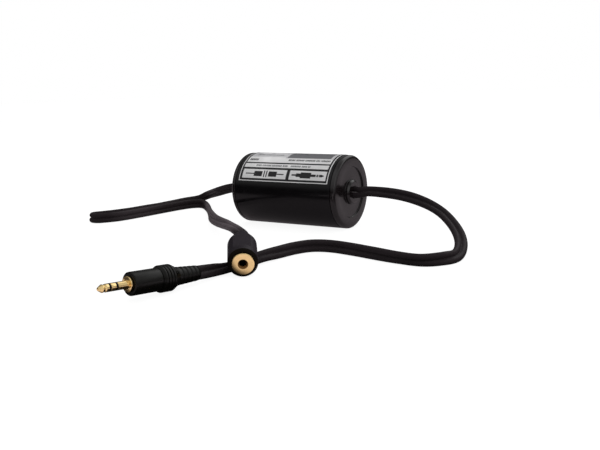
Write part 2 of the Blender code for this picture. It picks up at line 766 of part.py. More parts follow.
def inner_wires(word, side):
    """Three insulated wires from behind a bush down to the board's end."""
    start_x = BUSH_INNER_FACE - CLEARANCE
    land_x = start_x - WIRE_LANDING
    floor = BOARD_TOP + CLEARANCE
    for name, (row, colour) in WIRES.items():
        route = (
            (side * start_x, row * WIRE_PITCH / 2, BARREL_RADIUS + WIRE_PITCH / 2),
            (side * (start_x - WIRE_LANDING / 2), row * WIRE_PITCH * WIRE_SPREAD, BARREL_RADIUS + WIRE_PITCH / 4),
            (side * land_x, row * WIRE_PITCH, (BARREL_RADIUS + floor) / 2),
            (side * land_x, row * WIRE_PITCH, floor),
        )
        points = smooth_route(route, 3 * WIRE_RADIUS)
        put_in_scene(tube_along(f"{word}_{name}", points, WIRE_RADIUS, 1), colour)


def plug_contacts(frame):
    """Tip, ring and sleeve with the insulators between them, one inside the other."""
    tip_end = PLUG_LENGTH
    tip_base = tip_end - TIP_LENGTH
    first_base = tip_base - CONTACT_GAP - PLUG_INSULATOR_WIDTH
    ring_top = first_base - CONTACT_GAP
    ring_base = ring_top - RING_LENGTH
    second_top = ring_base - CONTACT_GAP
    second_base = second_top - PLUG_INSULATOR_WIDTH
    sleeve_top = second_base - CONTACT_GAP
    rear = -PLUG_TAIL
    bore = TIP_SHANK_RADIUS + CONTACT_GAP
    first_tail = bore + PLUG_INNER_WALL
    ring_bore = first_tail + CONTACT_GAP
    ring_tail = ring_bore + PLUG_INNER_WALL
    second_bore = ring_tail + CONTACT_GAP
    second_tail = second_bore + PLUG_INNER_WALL
    sleeve_bore = second_tail + CONTACT_GAP

    nose = tip_end - TIP_NOSE_RADIUS
    waist = (tip_base + tip_end) / 2
    tip = [
        (0, tip_end),
        *arc((0, nose), TIP_NOSE_RADIUS, 60, 20, 3),
        (PLUG_RADIUS, waist + (tip_end - waist) / 3),
        (PLUG_RADIUS, waist + (tip_end - waist) / 6),
        (TIP_WAIST_RADIUS, waist - (waist - tip_base) / 3),
        (PLUG_RADIUS, tip_base + (waist - tip_base) / 4),
        (PLUG_RADIUS, tip_base),
        (TIP_SHANK_RADIUS, tip_base),
        (TIP_SHANK_RADIUS, rear - TIP_SHANK_TAIL),
        (0, rear - TIP_SHANK_TAIL),
    ]
    put_in_scene(turned("plug_tip", tip, CONTACT_SEGMENTS), "gold_plate", frame)

    def stepped_ring(name, material, top, base, inner, tail):
        profile = [(inner, top), (PLUG_RADIUS, top), (PLUG_RADIUS, base), (tail, base), (tail, rear), (inner, rear)]
        put_in_scene(turned(name, profile, CONTACT_SEGMENTS, ring=True), material, frame)

    first_top = tip_base - CONTACT_GAP
    stepped_ring("plug_tip_insulator", "contact_plastic", first_top, first_base, bore, first_tail)
    stepped_ring("plug_ring", "gold_plate", ring_top, ring_base, ring_bore, ring_tail)
    stepped_ring("plug_ring_insulator", "contact_plastic", second_top, second_base, second_bore, second_tail)
    sleeve = [
        (sleeve_bore, sleeve_top),
        (PLUG_RADIUS, sleeve_top),
        (PLUG_RADIUS, PLUG_FLANGE_THICKNESS),
        (PLUG_FLANGE_RADIUS, PLUG_FLANGE_THICKNESS),
        (PLUG_FLANGE_RADIUS, 0),
        (PLUG_RADIUS, 0),
        (PLUG_RADIUS, rear),
        (sleeve_bore, rear),
    ]
    put_in_scene(turned("plug_sleeve", sleeve, CONTACT_SEGMENTS, ring=True), "gold_plate", frame)


def plug_handle(frame):
    """The moulded grip: a thick nose round the sleeve, hollow behind it for the solder tags."""
    nose_bore = PLUG_RADIUS + CONTACT_GAP
    front = -CLEARANCE
    floor = -PLUG_TAIL - TIP_SHANK_TAIL - CONTACT_GAP
    profile = [
        (nose_bore, front),
        *arc((HANDLE_RADIUS - HANDLE_ROUND, front - HANDLE_ROUND), HANDLE_ROUND, 90, 0, 4),
        (HANDLE_RADIUS, -HANDLE_LENGTH),
        (HANDLE_RADIUS - HANDLE_NOSE_WALL, -HANDLE_LENGTH),
        (HANDLE_RADIUS - HANDLE_NOSE_WALL, floor),
        (nose_bore, floor),
    ]
    put_in_scene(turned("plug_handle", profile, SMALL_SEGMENTS, ring=True), "plug_plastic", frame)


def groove(place, radius):
    """A narrow turned groove at a distance behind the collar's front."""
    z = -HANDLE_LENGTH - CLEARANCE - place
    return [
        (radius, z + GROOVE_WIDTH / 2),
        (radius - GROOVE_DEPTH, z + GROOVE_WIDTH / 4),
        (radius - GROOVE_DEPTH, z - GROOVE_WIDTH / 4),
        (radius, z - GROOVE_WIDTH / 2),
    ]


def plug_boot(frame):
    """The flexible strain relief: a wide collar, a cone and a ribbed tail round the lead."""
    front = -HANDLE_LENGTH - CLEARANCE
    collar_rear = front - COLLAR_LENGTH
    cone_rear = collar_rear - COLLAR_CONE
    rib_pitch = BOOT_LENGTH / BOOT_RIBS
    profile = [(0, front), (COLLAR_RADIUS - COLLAR_CHAMFER, front), (COLLAR_RADIUS, front - COLLAR_CHAMFER)]
    for place in GROOVE_PLACES:
        profile += groove(place, COLLAR_RADIUS)
    profile.append((COLLAR_RADIUS, collar_rear))
    for i in range(BOOT_RIBS):
        share = i / BOOT_RIBS
        radius = BOOT_FRONT_RADIUS + (BOOT_REAR_RADIUS - BOOT_FRONT_RADIUS) * share
        z = cone_rear - i * rib_pitch
        profile += [
            (radius, z),
            (radius, z - BOOT_RIB_LAND),
            (radius - BOOT_RIB_DEPTH, z - BOOT_RIB_LAND - BOOT_RIB_SLOPE),
            (radius - BOOT_RIB_DEPTH, z - rib_pitch + BOOT_RIB_SLOPE),
        ]
    end = cone_rear - BOOT_LENGTH
    profile += [(BOOT_REAR_RADIUS, end + BOOT_RIB_DEPTH), (BOOT_REAR_RADIUS, end), (0, end)]
    put_in_scene(turned("plug_boot", profile, BOOT_SEGMENTS), "plug_plastic", frame)


def plug(frame):
    plug_contacts(frame)
    plug_handle(frame)
    plug_boot(frame)


def jack_bush(frame):
    """The gold face and barrel of the socket, bored for a 3.5 mm plug."""
    top = JACK_BUSH_PROUD
    seat = CLEARANCE
    rear = seat - JACK_BUSH_LENGTH
    profile = [
        (JACK_BORE_RADIUS + JACK_COUNTERSINK, top),
        (JACK_BUSH_RADIUS - JACK_BUSH_BEVEL, top),
        (JACK_BUSH_RADIUS, top - JACK_BUSH_BEVEL),
        (JACK_BUSH_RADIUS, seat),
        (JACK_BUSH_BARREL, seat),
        (JACK_BUSH_BARREL, rear),
        (JACK_BORE_RADIUS, rear),
        (JACK_BORE_RADIUS, top - JACK_COUNTERSINK),
    ]
    put_in_scene(turned("jack_bush", profile, SMALL_SEGMENTS, ring=True), "gold_plate", frame)


def jack_housing(frame):
    """The moulded body: a round collar, a grip with two flats and a tapered rear, hollow from the front."""
    mouth = JACK_BUSH_BARREL + CLEARANCE
    cavity = CONTACT_BLOCK_RADIUS + CLEARANCE
    shelf = -JACK_BUSH_FLANGE
    front = (JACK_RADIUS - JACK_ROUND, -JACK_ROUND)
    rear = (JACK_REAR_RADIUS - JACK_ROUND, -JACK_LENGTH + JACK_ROUND)
    profile = [
        (0, BLOCK_REAR - JACK_WIRE_ROOM),
        (cavity, BLOCK_REAR - JACK_WIRE_ROOM),
        (cavity, shelf),
        (mouth, shelf),
        (mouth, 0),
        *arc(front, JACK_ROUND, 90, 0, 4),
        (JACK_RADIUS, -JACK_STRAIGHT),
        *arc(rear, JACK_ROUND, 0, -90, 4),
        (0, -JACK_LENGTH),
    ]
    housing = put_in_scene(turned("jack_housing", profile, SMALL_SEGMENTS), "jack_plastic", frame)
    depth = JACK_RADIUS
    for side, word in ((1, "upper"), (-1, "lower")):
        flat = box(
            f"jack_{word}_flat",
            (depth, 3 * JACK_RADIUS, JACK_FLAT_LENGTH),
            (side * (JACK_FLAT_HEIGHT + depth / 2), 0, -JACK_COLLAR - JACK_FLAT_LENGTH / 2),
        )
        cut(housing, make_cutter(flat, frame))


def jack_contact_block(frame):
    """The insulating block behind the bush: a cup whose bore takes the plug and its springs."""
    profile = [
        (0, BLOCK_FLOOR),
        (BLOCK_BORE, BLOCK_FLOOR),
        (BLOCK_BORE, BLOCK_TOP),
        (CONTACT_BLOCK_RADIUS, BLOCK_TOP),
        (CONTACT_BLOCK_RADIUS, BLOCK_REAR),
        (0, BLOCK_REAR),
    ]
    put_in_scene(turned("jack_contact_block", profile, SMALL_SEGMENTS), "contact_plastic", frame)


def jack_spring(name, frame, side, drop):
    """A bowed leaf along the wall of the contact block, from the block's floor to a drop below its rim."""
    outer = math.sqrt(BLOCK_BORE**2 - (SPRING_WIDTH / 2) ** 2) - CLEARANCE
    inner = outer - SPRING_THICKNESS
    foot = BLOCK_FLOOR + CLEARANCE
    end = BLOCK_TOP - drop
    bend = foot + (end - foot) * SPRING_BEND
    crest = foot + (end - foot) * SPRING_CREST
    outline = [
        (inner, foot),
        (outer, foot),
        (outer, bend),
        (outer - SPRING_BOW, crest),
        (outer, end),
        (inner, end),
        (inner - SPRING_BOW, crest),
        (inner, bend),
    ]
    turn = Matrix(((side, 0, 0), (0, 0, -side), (0, 1, 0))).to_4x4()
    put_in_scene(plate(name, [outline], SPRING_WIDTH, turn), "spring_bronze", frame)


def jack(frame):
    jack_bush(frame)
    jack_housing(frame)
    jack_contact_block(frame)
    jack_spring("jack_tip_spring", frame, 1, TIP_SPRING_DROP)
    jack_spring("jack_ring_spring", frame, -1, RING_SPRING_DROP)


def leads(right_frame, left_frame, plug_frame, jack_frame):
    """Each lead starts square on a cap's boss and ends square on the plug's boot or the socket's rear."""
    start = (Vector((0, 0, BOSS_TOP + CLEARANCE)), Vector((0, 0, BOSS_TOP + LEAD_STRAIGHT)))
    boot_end = HANDLE_LENGTH + CLEARANCE + COLLAR_LENGTH + COLLAR_CONE + BOOT_LENGTH
    for name, cap, far, far_length, route in (
        ("plug_lead", right_frame, plug_frame, boot_end, PLUG_LEAD_ROUTE),
        ("jack_lead", left_frame, jack_frame, JACK_LENGTH, JACK_LEAD_ROUTE),
    ):
        first = [cap @ p for p in start]
        last = [far @ Vector((0, 0, -far_length - d)) for d in (LEAD_STRAIGHT, CLEARANCE)]
        points = smooth_route([*first, *route, *last], LEAD_STEP)
        put_in_scene(tube_along(name, points, LOBE_DIAMETER / 2, 2), "lead_jacket")


def shade_round_pieces():
    for obj in bpy.data.collections["ground_loop_isolator"].objects:
        if obj.type == "MESH":
            obj.data.shade_smooth()
            obj.data.set_sharp_from_angle(angle=math.radians(35))


def main():
    clear_scene()
    make_collection("ground_loop_isolator")
    make_collection("cutters")
    barrel_tube()
    label()
    sides = {"right": 1, "left": -1}
    frames = {word: cap_matrix(side) for word, side in sides.items()}
    for word, side in sides.items():
        empty = make_empty(f"{word}_end_frame", frames[word])
        end_cap(word, empty)
        cable_bush(word, empty)
        inner_wires(word, side)
    middles = {word: side * TRANSFORMER_SPACING / 2 for word, side in sides.items()}
    circuit_board(middles)
    for word, middle in middles.items():
        transformer(word, middle)
    plug(make_empty("plug_frame", plug_matrix()))
    jack(make_empty("jack_frame", jack_matrix()))
    leads(frames["right"], frames["left"], plug_matrix(), jack_matrix())
    shade_round_pieces()


main()
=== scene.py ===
"""Looks of the ground loop isolator. Sizes are in millimetres until a mesh is made."""

import json
import math
import random
import bmesh
import bpy
import numpy as np
from mathutils import Matrix, Vector


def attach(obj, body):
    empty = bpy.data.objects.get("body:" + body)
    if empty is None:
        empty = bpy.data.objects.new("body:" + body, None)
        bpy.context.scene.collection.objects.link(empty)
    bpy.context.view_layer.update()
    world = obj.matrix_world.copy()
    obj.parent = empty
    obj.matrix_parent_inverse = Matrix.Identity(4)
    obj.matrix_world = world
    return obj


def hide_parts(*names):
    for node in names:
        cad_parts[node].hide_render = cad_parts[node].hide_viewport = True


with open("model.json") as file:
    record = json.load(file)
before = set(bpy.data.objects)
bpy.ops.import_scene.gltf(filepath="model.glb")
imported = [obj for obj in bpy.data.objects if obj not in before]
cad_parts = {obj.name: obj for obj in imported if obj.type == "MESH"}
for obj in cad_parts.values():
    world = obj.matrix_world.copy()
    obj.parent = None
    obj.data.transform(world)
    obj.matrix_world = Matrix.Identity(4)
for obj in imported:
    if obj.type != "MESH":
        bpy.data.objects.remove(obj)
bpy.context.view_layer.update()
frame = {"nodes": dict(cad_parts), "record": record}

MM = 0.001
BODY = "root"

# Camera, in the part's frame
CAMERA_PLACE = (244.34, -394.10, 84.52)
CAMERA_LOOK = (-0.5189, 0.8355, -0.1807)
CAMERA_RIGHT = (0.8519, 0.5228, -0.0292)
CAMERA_LENS = 45
CAMERA_SENSOR = 36
CAMERA_REACH = (0.01, 20)

# Barrel and caps
BARREL_RADIUS = 22
CAP_FACE = 36.85
CAP_FLANGE = 3
CAP_ROUND = 2
SEAM = 0.3
TUBE_WALL = 1.6
STEP_RADIUS = 15.2
STEP_DEPTH = 0.9
BOSS_RADIUS = 7.3
BOSS_TOP = 1.6
BOSS_SLOPE = 0.9
BOSS_SHOULDER = 1.1
SPIGOT_RADIUS = 20.1
SPIGOT_BORE = 18.5
SPIGOT_LENGTH = 6
POCKET_RADIUS = 6.2
POCKET_CEILING = -1.2
HOLE_RADIUS = 1.9
HOLE_DEPTH = 4
HOLE_SPACING = 4.2
HOLE_TILT = math.radians(24)

# Label: x along the barrel, and angles in degrees from the top, plus toward the camera
LABEL_RADII = (22.1, 22.25)
LABEL_X = (-31.05, 31.75)
LABEL_ANGLES = (-52.0, 71.6)
LABEL_ANGLE_STEP = 2.4
LABEL_BORDER = 0.5

# Bars in the place of letters: how many make a word, their width, the gap between them and the room they need
WORD_BARS = (3, 8)
BAR_WIDTHS = (0.45, 0.95)
BAR_GAP = 0.28
BAR_ROOM = 0.6

# Twin lead. The groove and the cusps of the parted lobes are given as shares of the web.
LOBE_RADIUS = 1.65
LOBE_POINTS = 15
WEB_HALF = 0.72
GROOVE_SHARE = 0.93
CUSP_SHARES = (0.35, 0.6)
SPLIT_LENGTH = 4.4
SPLIT_POWER = 0.7
RING_STEP = 1.6
ROUTE_STEPS = 16

# Plug: distances along its axis from the shoulder, plus toward the tip
PLUG_SHOULDER = (27.4, -178.9)
PLUG_AZIMUTH = math.radians(79.9)
PLUG_SLOPE = math.radians(4.3)
PLUG_RADIUS = 1.75
PLUG_LENGTH = 14.8
TIP_LENGTH = 4.75
BAND_LENGTH = 0.85
RING_LENGTH = 2.3
CONTACT_GAP = 0.06
CONTACT_CORE = 1.2
SHANK_RADIUS = 0.45
SHANK_END = -6.2
SLEEVE_BORE = 1.47
SLEEVE_END = -6
FLANGE_RADIUS = 3.4
FLANGE_TOP = 0.9
HANDLE_RADIUS = 5.03
HANDLE_GAP = 0.3
HANDLE_LENGTH = 14.2
HANDLE_BORE = 1.81
HANDLE_SOCKET = (3.43, -6.3)
COLLAR_RADIUS = 5.9
COLLAR_LENGTH = 6.1
COLLAR_EDGE = 0.9
COLLAR_CONE = 3.5
GROOVES = (1.9, 3.5, 5.0)
GROOVE_DEPTH = 0.42
GROOVE_HALVES = (0.32, 0.14)
BOOT_LENGTH = 12.1
BOOT_RADII = (4.1, 3.4)
BOOT_RIBS = 5
RIB_LENGTH = 1.26
RIB_DEPTH = 0.5
RIB_SLOPE = 0.3
BOOT_END = HANDLE_LENGTH + HANDLE_GAP + COLLAR_LENGTH + COLLAR_CONE + BOOT_LENGTH

# The tip's outline: radius, distance back from the plug's end, and fillet
TIP_OUTLINE = (
    (0.66, 0.14, 0.25),
    (1.74, 1.9, 0.3),
    (1.7, 2.3, 0.2),
    (1.36, 2.9, 0.35),
    (1.75, 3.5, 0.3),
)

# Socket: distances along its axis from the front of its body, minus toward the rear
JACK_FOOT = (46.3, -125.45)
JACK_AZIMUTH = math.radians(126.4)
JACK_RISE = math.radians(10.5)
JACK_RADIUS = 7.05
JACK_STRAIGHT = 20
JACK_LENGTH = 31.8
JACK_REAR_RADIUS = 3.6
JACK_COLLAR = 5
JACK_FLAT = 5.66
JACK_FLAT_END = 26
FACE_RADIUS = 5.2
FACE_TOP = 1.7
FACE_SEAT = 0.3
BUSH_BORE = 1.8
BUSH_MOUTH = 2.35
BUSH_STEM = 3.7
BUSH_END = -6.2
WELL_RADIUS = 4.8
WELL_END = -21.2
LIP_RADIUS = 4.0
LIP_END = -1.1

# Which faces of the socket get a second colour: its front, in a darker painted shade, and the throat of its
# bore, in a brown painted reflection of the dark bore
FRONT_DEPTH = 0.7
THROAT_RADIUS = 2.4
THROAT_DEPTH = 0.3

TABLE_GAP = 0.03

# How bright the table is to the camera, and in reflections: round the barrel, and in front of the socket
FLOOR_SEEN = (0.905, 0.2)
FLOOR_SOFT = 0.6
FLOOR_GLOW = 0.35
FLOOR_MIRRORED = 0.36
FRONT_MIRRORED = 0.74
FLOOR_SHADED = 0.05
FLOOR_DARK = 0.02
FLOOR_TINT = (1.0, 0.89, 0.94)

# Where that brightness changes, along X or Y in metres: each change's start and end
BACK_OPEN_Y = (0.0, 0.03)
BACK_SHADED_X = (0.08, 0.11)
FRONT_Y = (-0.095, -0.075)
NEAR_LIT_X = (0.046, 0.054)
NEAR_DARK_X = (0.09, 0.1)
FAR_FRONT_Y = (-0.198, -0.188)
FAR_LIT_X = (-0.075, -0.06)

# How bright the room is in reflections: at the horizon, overhead, in front, to the right and behind
SKY_LOW = 0.02
SKY_TOP = 0.4
SKY_FRONT = 0.4
SKY_RIGHT = 0.5
SKY_BACK = 1.1
SKY_SOFT = 0.5

# Lamps: name, place and target in metres, width and height, and power
LAMPS = (
    ("overhead", (-0.15, 0.45, 0.75), (0, -0.02, 0), (1.6, 1.1), 5.0),
    ("fill", (0.7, -0.3, 0.6), (0, -0.05, 0), (0.5, 0.5), 1.5),
)

# The leads' painted sheen, a paler stretch on the way to the socket, in metres: its middle, how far it
# reaches as it fades, and the X + Y where it ends
PAINTED_SHEEN_PLACE = (-0.036, -0.04, 0.009)
PAINTED_SHEEN_REACH = (0.066, 0.085)
PAINTED_SHEEN_SIDE = (-0.069, -0.064)

# Unevenness: the darker and paler shares of a colour, the spread of roughness, and how fine each one is
UNEVEN = (0.82, 1.2)
UNEVEN_SCALE = 45
GLOSS_SPREAD = 0.06
GLOSS_SCALE = 160

# Routes of the leads: x, y, z and the twist in degrees from standing on edge
PLUG_LEAD_ROUTE = (
    (47, 1.5, 22.7, -40),
    (59, 3, 22.1, -32),
    (72, 1.5, 20.8, -32),
    (85, -3, 18.4, -52),
    (96.5, -10, 15.3, -72),
    (106, -19, 11.6, -82),
    (114.1, -30, 7.9, -90),
    (120, -43, 4.9, -104),
    (122.4, -55.6, 2.9, -134),
    (119.9, -66.6, 3.3, -172),
    (111.6, -73.8, 3.2, -198),
    (99.5, -73.3, 3.25, -196),
    (85, -69.8, 3.3, -180),
    (71, -66.2, 3.35, -168),
    (58, -64.4, 3.4, -167),
    (48.5, -67.2, 3.4, -168),
    (43.2, -75.5, 3.35, -164),
    (40.8, -87, 3.4, -150),
    (38.3, -99, 3.3, -124),
    (36, -110, 2.25, -110),
    (34.2, -121, 2.3, -108),
    (33.4, -130, 3.1, -134),
)
JACK_LEAD_ROUTE = (
    (-48.9, 1.9, 21, -30),
    (-60.1, 5.7, 18.8, -32),
    (-73.4, 13.6, 15.5, -34),
    (-92, 30.5, 11, -40),
    (-108, 44, 7, -46),
    (-117.5, 45, 3.8, -50),
    (-124, 35, 2.9, -48),
    (-123.5, 19, 2.95, -42),
    (-121.5, 4, 3.15, -26),
    (-121.5, -10, 3.4, -10),
    (-124, -23, 3.35, -12),
    (-129, -33.5, 3.25, -20),
    (-133.8, -40.8, 3.2, -22),
    (-134.9, -45.5, 3.25, -14),
    (-132.2, -49.2, 3.3, -4),
    (-127.7, -49.9, 3.3, 0),
    (-123.6, -46.6, 3.3, 0),
    (-118.3, -37.6, 3.3, 0),
    (-115.2, -21.8, 3.3, 0),
    (-112.9, -4.2, 3.3, 0),
    (-110.9, 10.6, 3.3, 0),
    (-108.9, 19.1, 3.3, 0),
    (-106.4, 24.5, 3.3, 0),
    (-102.4, 27, 3.3, 0),
    (-96.8, 24.7, 3.3, 0),
    (-88.2, 17.3, 3.3, 0),
    (-78.2, 6.9, 3.35, 6),
    (-66, -7, 3.8, 2),
    (-51.5, -23.5, 5, -26),
    (-36.8, -39.3, 6.8, -42),
    (-22.3, -53.7, 8.8, -50),
    (-9.9, -65.2, 10.5, -60),
    (1.2, -75.3, 11.8, -78),
    (12.2, -85.1, 12.9, -88),
)
CAP_TWIST = -24
BOOT_TWIST = -145
JACK_TWIST = -90
LEAD_STRAIGHT = 4
LEAD_OUT = 0.3
LEAD_IN_CAP = 1.5
LEAD_IN_FAR = 1.0


# Camera


def add_camera():
    """The photograph's view."""
    look = Vector(CAMERA_LOOK).normalized()
    right = Vector(CAMERA_RIGHT)
    right = (right - look * right.dot(look)).normalized()
    up = right.cross(look)
    data = bpy.data.cameras.new("camera")
    data.lens = CAMERA_LENS
    data.sensor_width = CAMERA_SENSOR
    data.clip_start, data.clip_end = CAMERA_REACH
    camera = bpy.data.objects.new("camera", data)
    turn = Matrix((right, up, -look)).transposed().to_4x4()
    camera.matrix_world = Matrix.Translation(Vector(CAMERA_PLACE) * MM) @ turn
    bpy.context.scene.collection.objects.link(camera)
    bpy.context.scene.camera = camera


# Materials


class Nodes:
    """A material's node tree with short ways to add and link nodes."""

    def __init__(self, name):
        self.material = bpy.data.materials.new(name)
        self.material.use_nodes = True
        self.tree = self.material.node_tree
        self.shader = self.tree.nodes["Principled BSDF"]

    def add(self, kind, inputs=(), **settings):
        """A node, with each input linked to a socket or set to a value."""
        node = self.tree.nodes.new(kind)
        for key, value in settings.items():
            setattr(node, key, value)
        for key, value in dict(inputs).items():
            if isinstance(value, bpy.types.NodeSocket):
                self.tree.links.new(value, node.inputs[key])
            else:
                node.inputs[key].default_value = value
        return node

    def link(self, output, socket):
        self.tree.links.new(output, self.shader.inputs[socket])

    def place(self, stretch=(1, 1, 1)):
        """Object coordinates in metres, stretched along the axes."""
        coordinates = self.add("ShaderNodeTexCoord").outputs["Object"]
        if stretch == (1, 1, 1):
            return coordinates
        return self.add("ShaderNodeMapping", {"Vector": coordinates, "Scale": stretch}).outputs["Vector"]

    def noise(self, scale, detail=3, stretch=(1, 1, 1)):
        inputs = {"Vector": self.place(stretch), "Scale": scale, "Detail": detail, "Roughness": 0.55}
        return self.add("ShaderNodeTexNoise", inputs).outputs["Fac"]

    def between(self, value, low, high, start=0.3, end=0.7):
        """Spreads a value's range from start to end over the range from low to high."""
        inputs = {"Value": value, "From Min": start, "From Max": end, "To Min": low, "To Max": high}
        return self.add("ShaderNodeMapRange", inputs).outputs["Result"]

    def mix(self, share, first, second):
        """A colour between two others."""
        node = self.add("ShaderNodeMix", data_type="RGBA")
        self.tree.links.new(share, node.inputs[0])
        for socket, value in ((node.inputs[6], first), (node.inputs[7], second)):
            if isinstance(value, bpy.types.NodeSocket):
                self.tree.links.new(value, socket)
            else:
                socket.default_value = (*value, 1)
        return node.outputs[2]

    def bump(self, height, strength, distance):
        inputs = {"Height": height, "Strength": strength, "Distance": distance}
        self.link(self.add("ShaderNodeBump", inputs).outputs["Normal"], "Normal")


def shade(colour, factor):
    """A colour made darker or paler by a factor."""
    return tuple(min(1.0, c * factor) for c in colour)


def uneven(colour):
    """A colour's darker and paler ends."""
    return [shade(colour, share) for share in UNEVEN]


def plastic(name, colour, roughness, specular=0.5, grain=0.0, grain_scale=2500):
    """Moulded plastic: a little uneven in colour and gloss, with a fine grain in its surface."""
    nodes = Nodes(name)
    cloud = nodes.between(nodes.noise(UNEVEN_SCALE, 4), 0, 1)
    nodes.link(nodes.mix(cloud, *uneven(colour)), "Base Color")
    gloss = nodes.noise(GLOSS_SCALE, 5)
    nodes.link(nodes.between(gloss, roughness - GLOSS_SPREAD, roughness + GLOSS_SPREAD), "Roughness")
    nodes.shader.inputs["Specular IOR Level"].default_value = specular
    if grain:
        nodes.bump(nodes.noise(grain_scale, 2), grain, 0.0001)
    return nodes.material


def jacket(name, colour, pale):
    """The leads' jacket, with a painted sheen: a paler stretch on the way to the socket."""
    nodes = Nodes(name)
    position = nodes.add("ShaderNodeNewGeometry").outputs["Position"]
    away = nodes.add("ShaderNodeVectorMath", {0: position, 1: PAINTED_SHEEN_PLACE}, operation="DISTANCE")
    away = away.outputs["Value"]
    cloud = nodes.between(nodes.noise(UNEVEN_SCALE, 4), 0, 1)
    # The painted sheen's paler colour near the socket, and the jacket's own colour
    near = nodes.mix(cloud, *uneven(pale))
    far = nodes.mix(cloud, *uneven(colour))
    axes = nodes.add("ShaderNodeSeparateXYZ", {0: position}).outputs
    total = nodes.add("ShaderNodeMath", {0: axes["X"], 1: axes["Y"]}, operation="ADD").outputs[0]
    limits = {0: nodes.between(away, 0, 1, *PAINTED_SHEEN_REACH), 1: nodes.between(total, 0, 1, *PAINTED_SHEEN_SIDE)}
    share = nodes.add("ShaderNodeMath", limits, operation="MAXIMUM").outputs[0]
    nodes.link(nodes.mix(share, near, far), "Base Color")
    nodes.link(nodes.between(nodes.noise(GLOSS_SCALE, 5), 0.44, 0.56), "Roughness")
    nodes.shader.inputs["Specular IOR Level"].default_value = 0.08
    nodes.bump(nodes.noise(1500, 2), 0.3, 0.0001)
    return nodes.material


def metal(name, colour, roughness, stretch=(1, 1, 1), wear=(0.75, 1.1)):
    """Plated or rolled metal with faint marks and stains."""
    nodes = Nodes(name)
    nodes.shader.inputs["Metallic"].default_value = 1.0
    stain = nodes.between(nodes.noise(220, 5), 0, 1)
    nodes.link(nodes.mix(stain, *(shade(colour, share) for share in wear)), "Base Color")
    marks = nodes.noise(1800, 3, stretch=stretch)
    nodes.link(nodes.between(marks, roughness - GLOSS_SPREAD, roughness + GLOSS_SPREAD), "Roughness")
    nodes.bump(marks, 0.12, 0.00005)
    return nodes.material


def laminations(name):
    """Steel sheets stacked along the barrel."""
    nodes = Nodes(name)
    nodes.shader.inputs["Metallic"].default_value = 1.0
    wave = nodes.add(
        "ShaderNodeTexWave",
        {"Vector": nodes.place(), "Scale": 620, "Distortion": 0.4, "Detail": 2},
        bands_direction="X",
    ).outputs["Fac"]
    nodes.link(nodes.mix(wave, (0.12, 0.12, 0.13), (0.42, 0.42, 0.44)), "Base Color")
    nodes.link(nodes.between(nodes.noise(300, 4), 0.4, 0.6), "Roughness")
    nodes.bump(wave, 0.5, 0.0001)
    return nodes.material


def tape(name):
    """Polyester tape wound round a coil."""
    nodes = Nodes(name)
    wave = nodes.add(
        "ShaderNodeTexWave",
        {"Vector": nodes.place(), "Scale": 90, "Distortion": 1.5, "Detail": 3},
        bands_direction="Z",
    ).outputs["Fac"]
    nodes.link(nodes.mix(wave, (0.62, 0.46, 0.07), (0.78, 0.62, 0.16)), "Base Color")
    nodes.link(nodes.between(nodes.noise(200, 4), 0.3, 0.5), "Roughness")
    nodes.bump(wave, 0.3, 0.0001)
    return nodes.material


def resist(name):
    """Green board lacquer over darker laminate."""
    nodes = Nodes(name)
    cloud = nodes.between(nodes.noise(120, 5), 0, 1)
    nodes.link(nodes.mix(cloud, (0.02, 0.1, 0.04), (0.06, 0.2, 0.08)), "Base Color")
    nodes.link(nodes.between(nodes.noise(500, 3), 0.3, 0.5), "Roughness")
    weave = nodes.add("ShaderNodeTexVoronoi", {"Vector": nodes.place(), "Scale": 1400}).outputs["Distance"]
    nodes.bump(weave, 0.15, 0.00005)
    return nodes.material


BLACK_CASE = plastic("case_black", (0.0042, 0.0036, 0.0042), 0.18, 0.25, grain=0.05, grain_scale=900)
BLACK_CAP = plastic("cap_black", (0.0065, 0.0046, 0.0050), 0.2, 0.5, grain=0.12, grain_scale=1600)
# The leads' paler second colour near the socket is a painted sheen
LEAD_BLACK = jacket("lead_black_painted_sheen", (0.019, 0.0145, 0.0165), (0.092, 0.076, 0.084))
PLUG_BLACK = plastic("plug_black", (0.0026, 0.0024, 0.0017), 0.34, 0.22, grain=0.25, grain_scale=2200)
JACK_BLACK = plastic("jack_black", (0.0135, 0.0100, 0.0140), 0.5, 0.14, grain=0.3, grain_scale=2200)
# The socket's front is a darker, browner copy of the body's black: painted shade
JACK_FRONT_SHADE = plastic("jack_front_painted_shade", (0.0060, 0.0044, 0.0030), 0.5, 0.05, grain=0.3, grain_scale=2200)
CONTACT_BLACK = plastic("contact_black", (0.004, 0.003, 0.003), 0.4, 0.15)
# The gold throat of the socket's bore drawn as dull brown: a painted reflection of the dark bore
BORE_DARK_REFLECTION = plastic("bore_painted_reflection", (0.22, 0.11, 0.035), 0.5)
GOLD = metal("gold_plate", (0.93, 0.69, 0.32), 0.17, wear=(0.85, 1.05))
FILM_WHITE = plastic("film_white", (0.80, 0.795, 0.80), 0.32, grain=0.05, grain_scale=700)
FILM_SILVER = plastic("film_silver", (0.56, 0.555, 0.57), 0.3, grain=0.05, grain_scale=700)
FILM_GREY = plastic("film_grey", (0.13, 0.13, 0.14), 0.32, grain=0.05, grain_scale=700)
FILM_INK = plastic("film_ink", (0.010, 0.009, 0.010), 0.3, specular=0.3, grain=0.05, grain_scale=700)

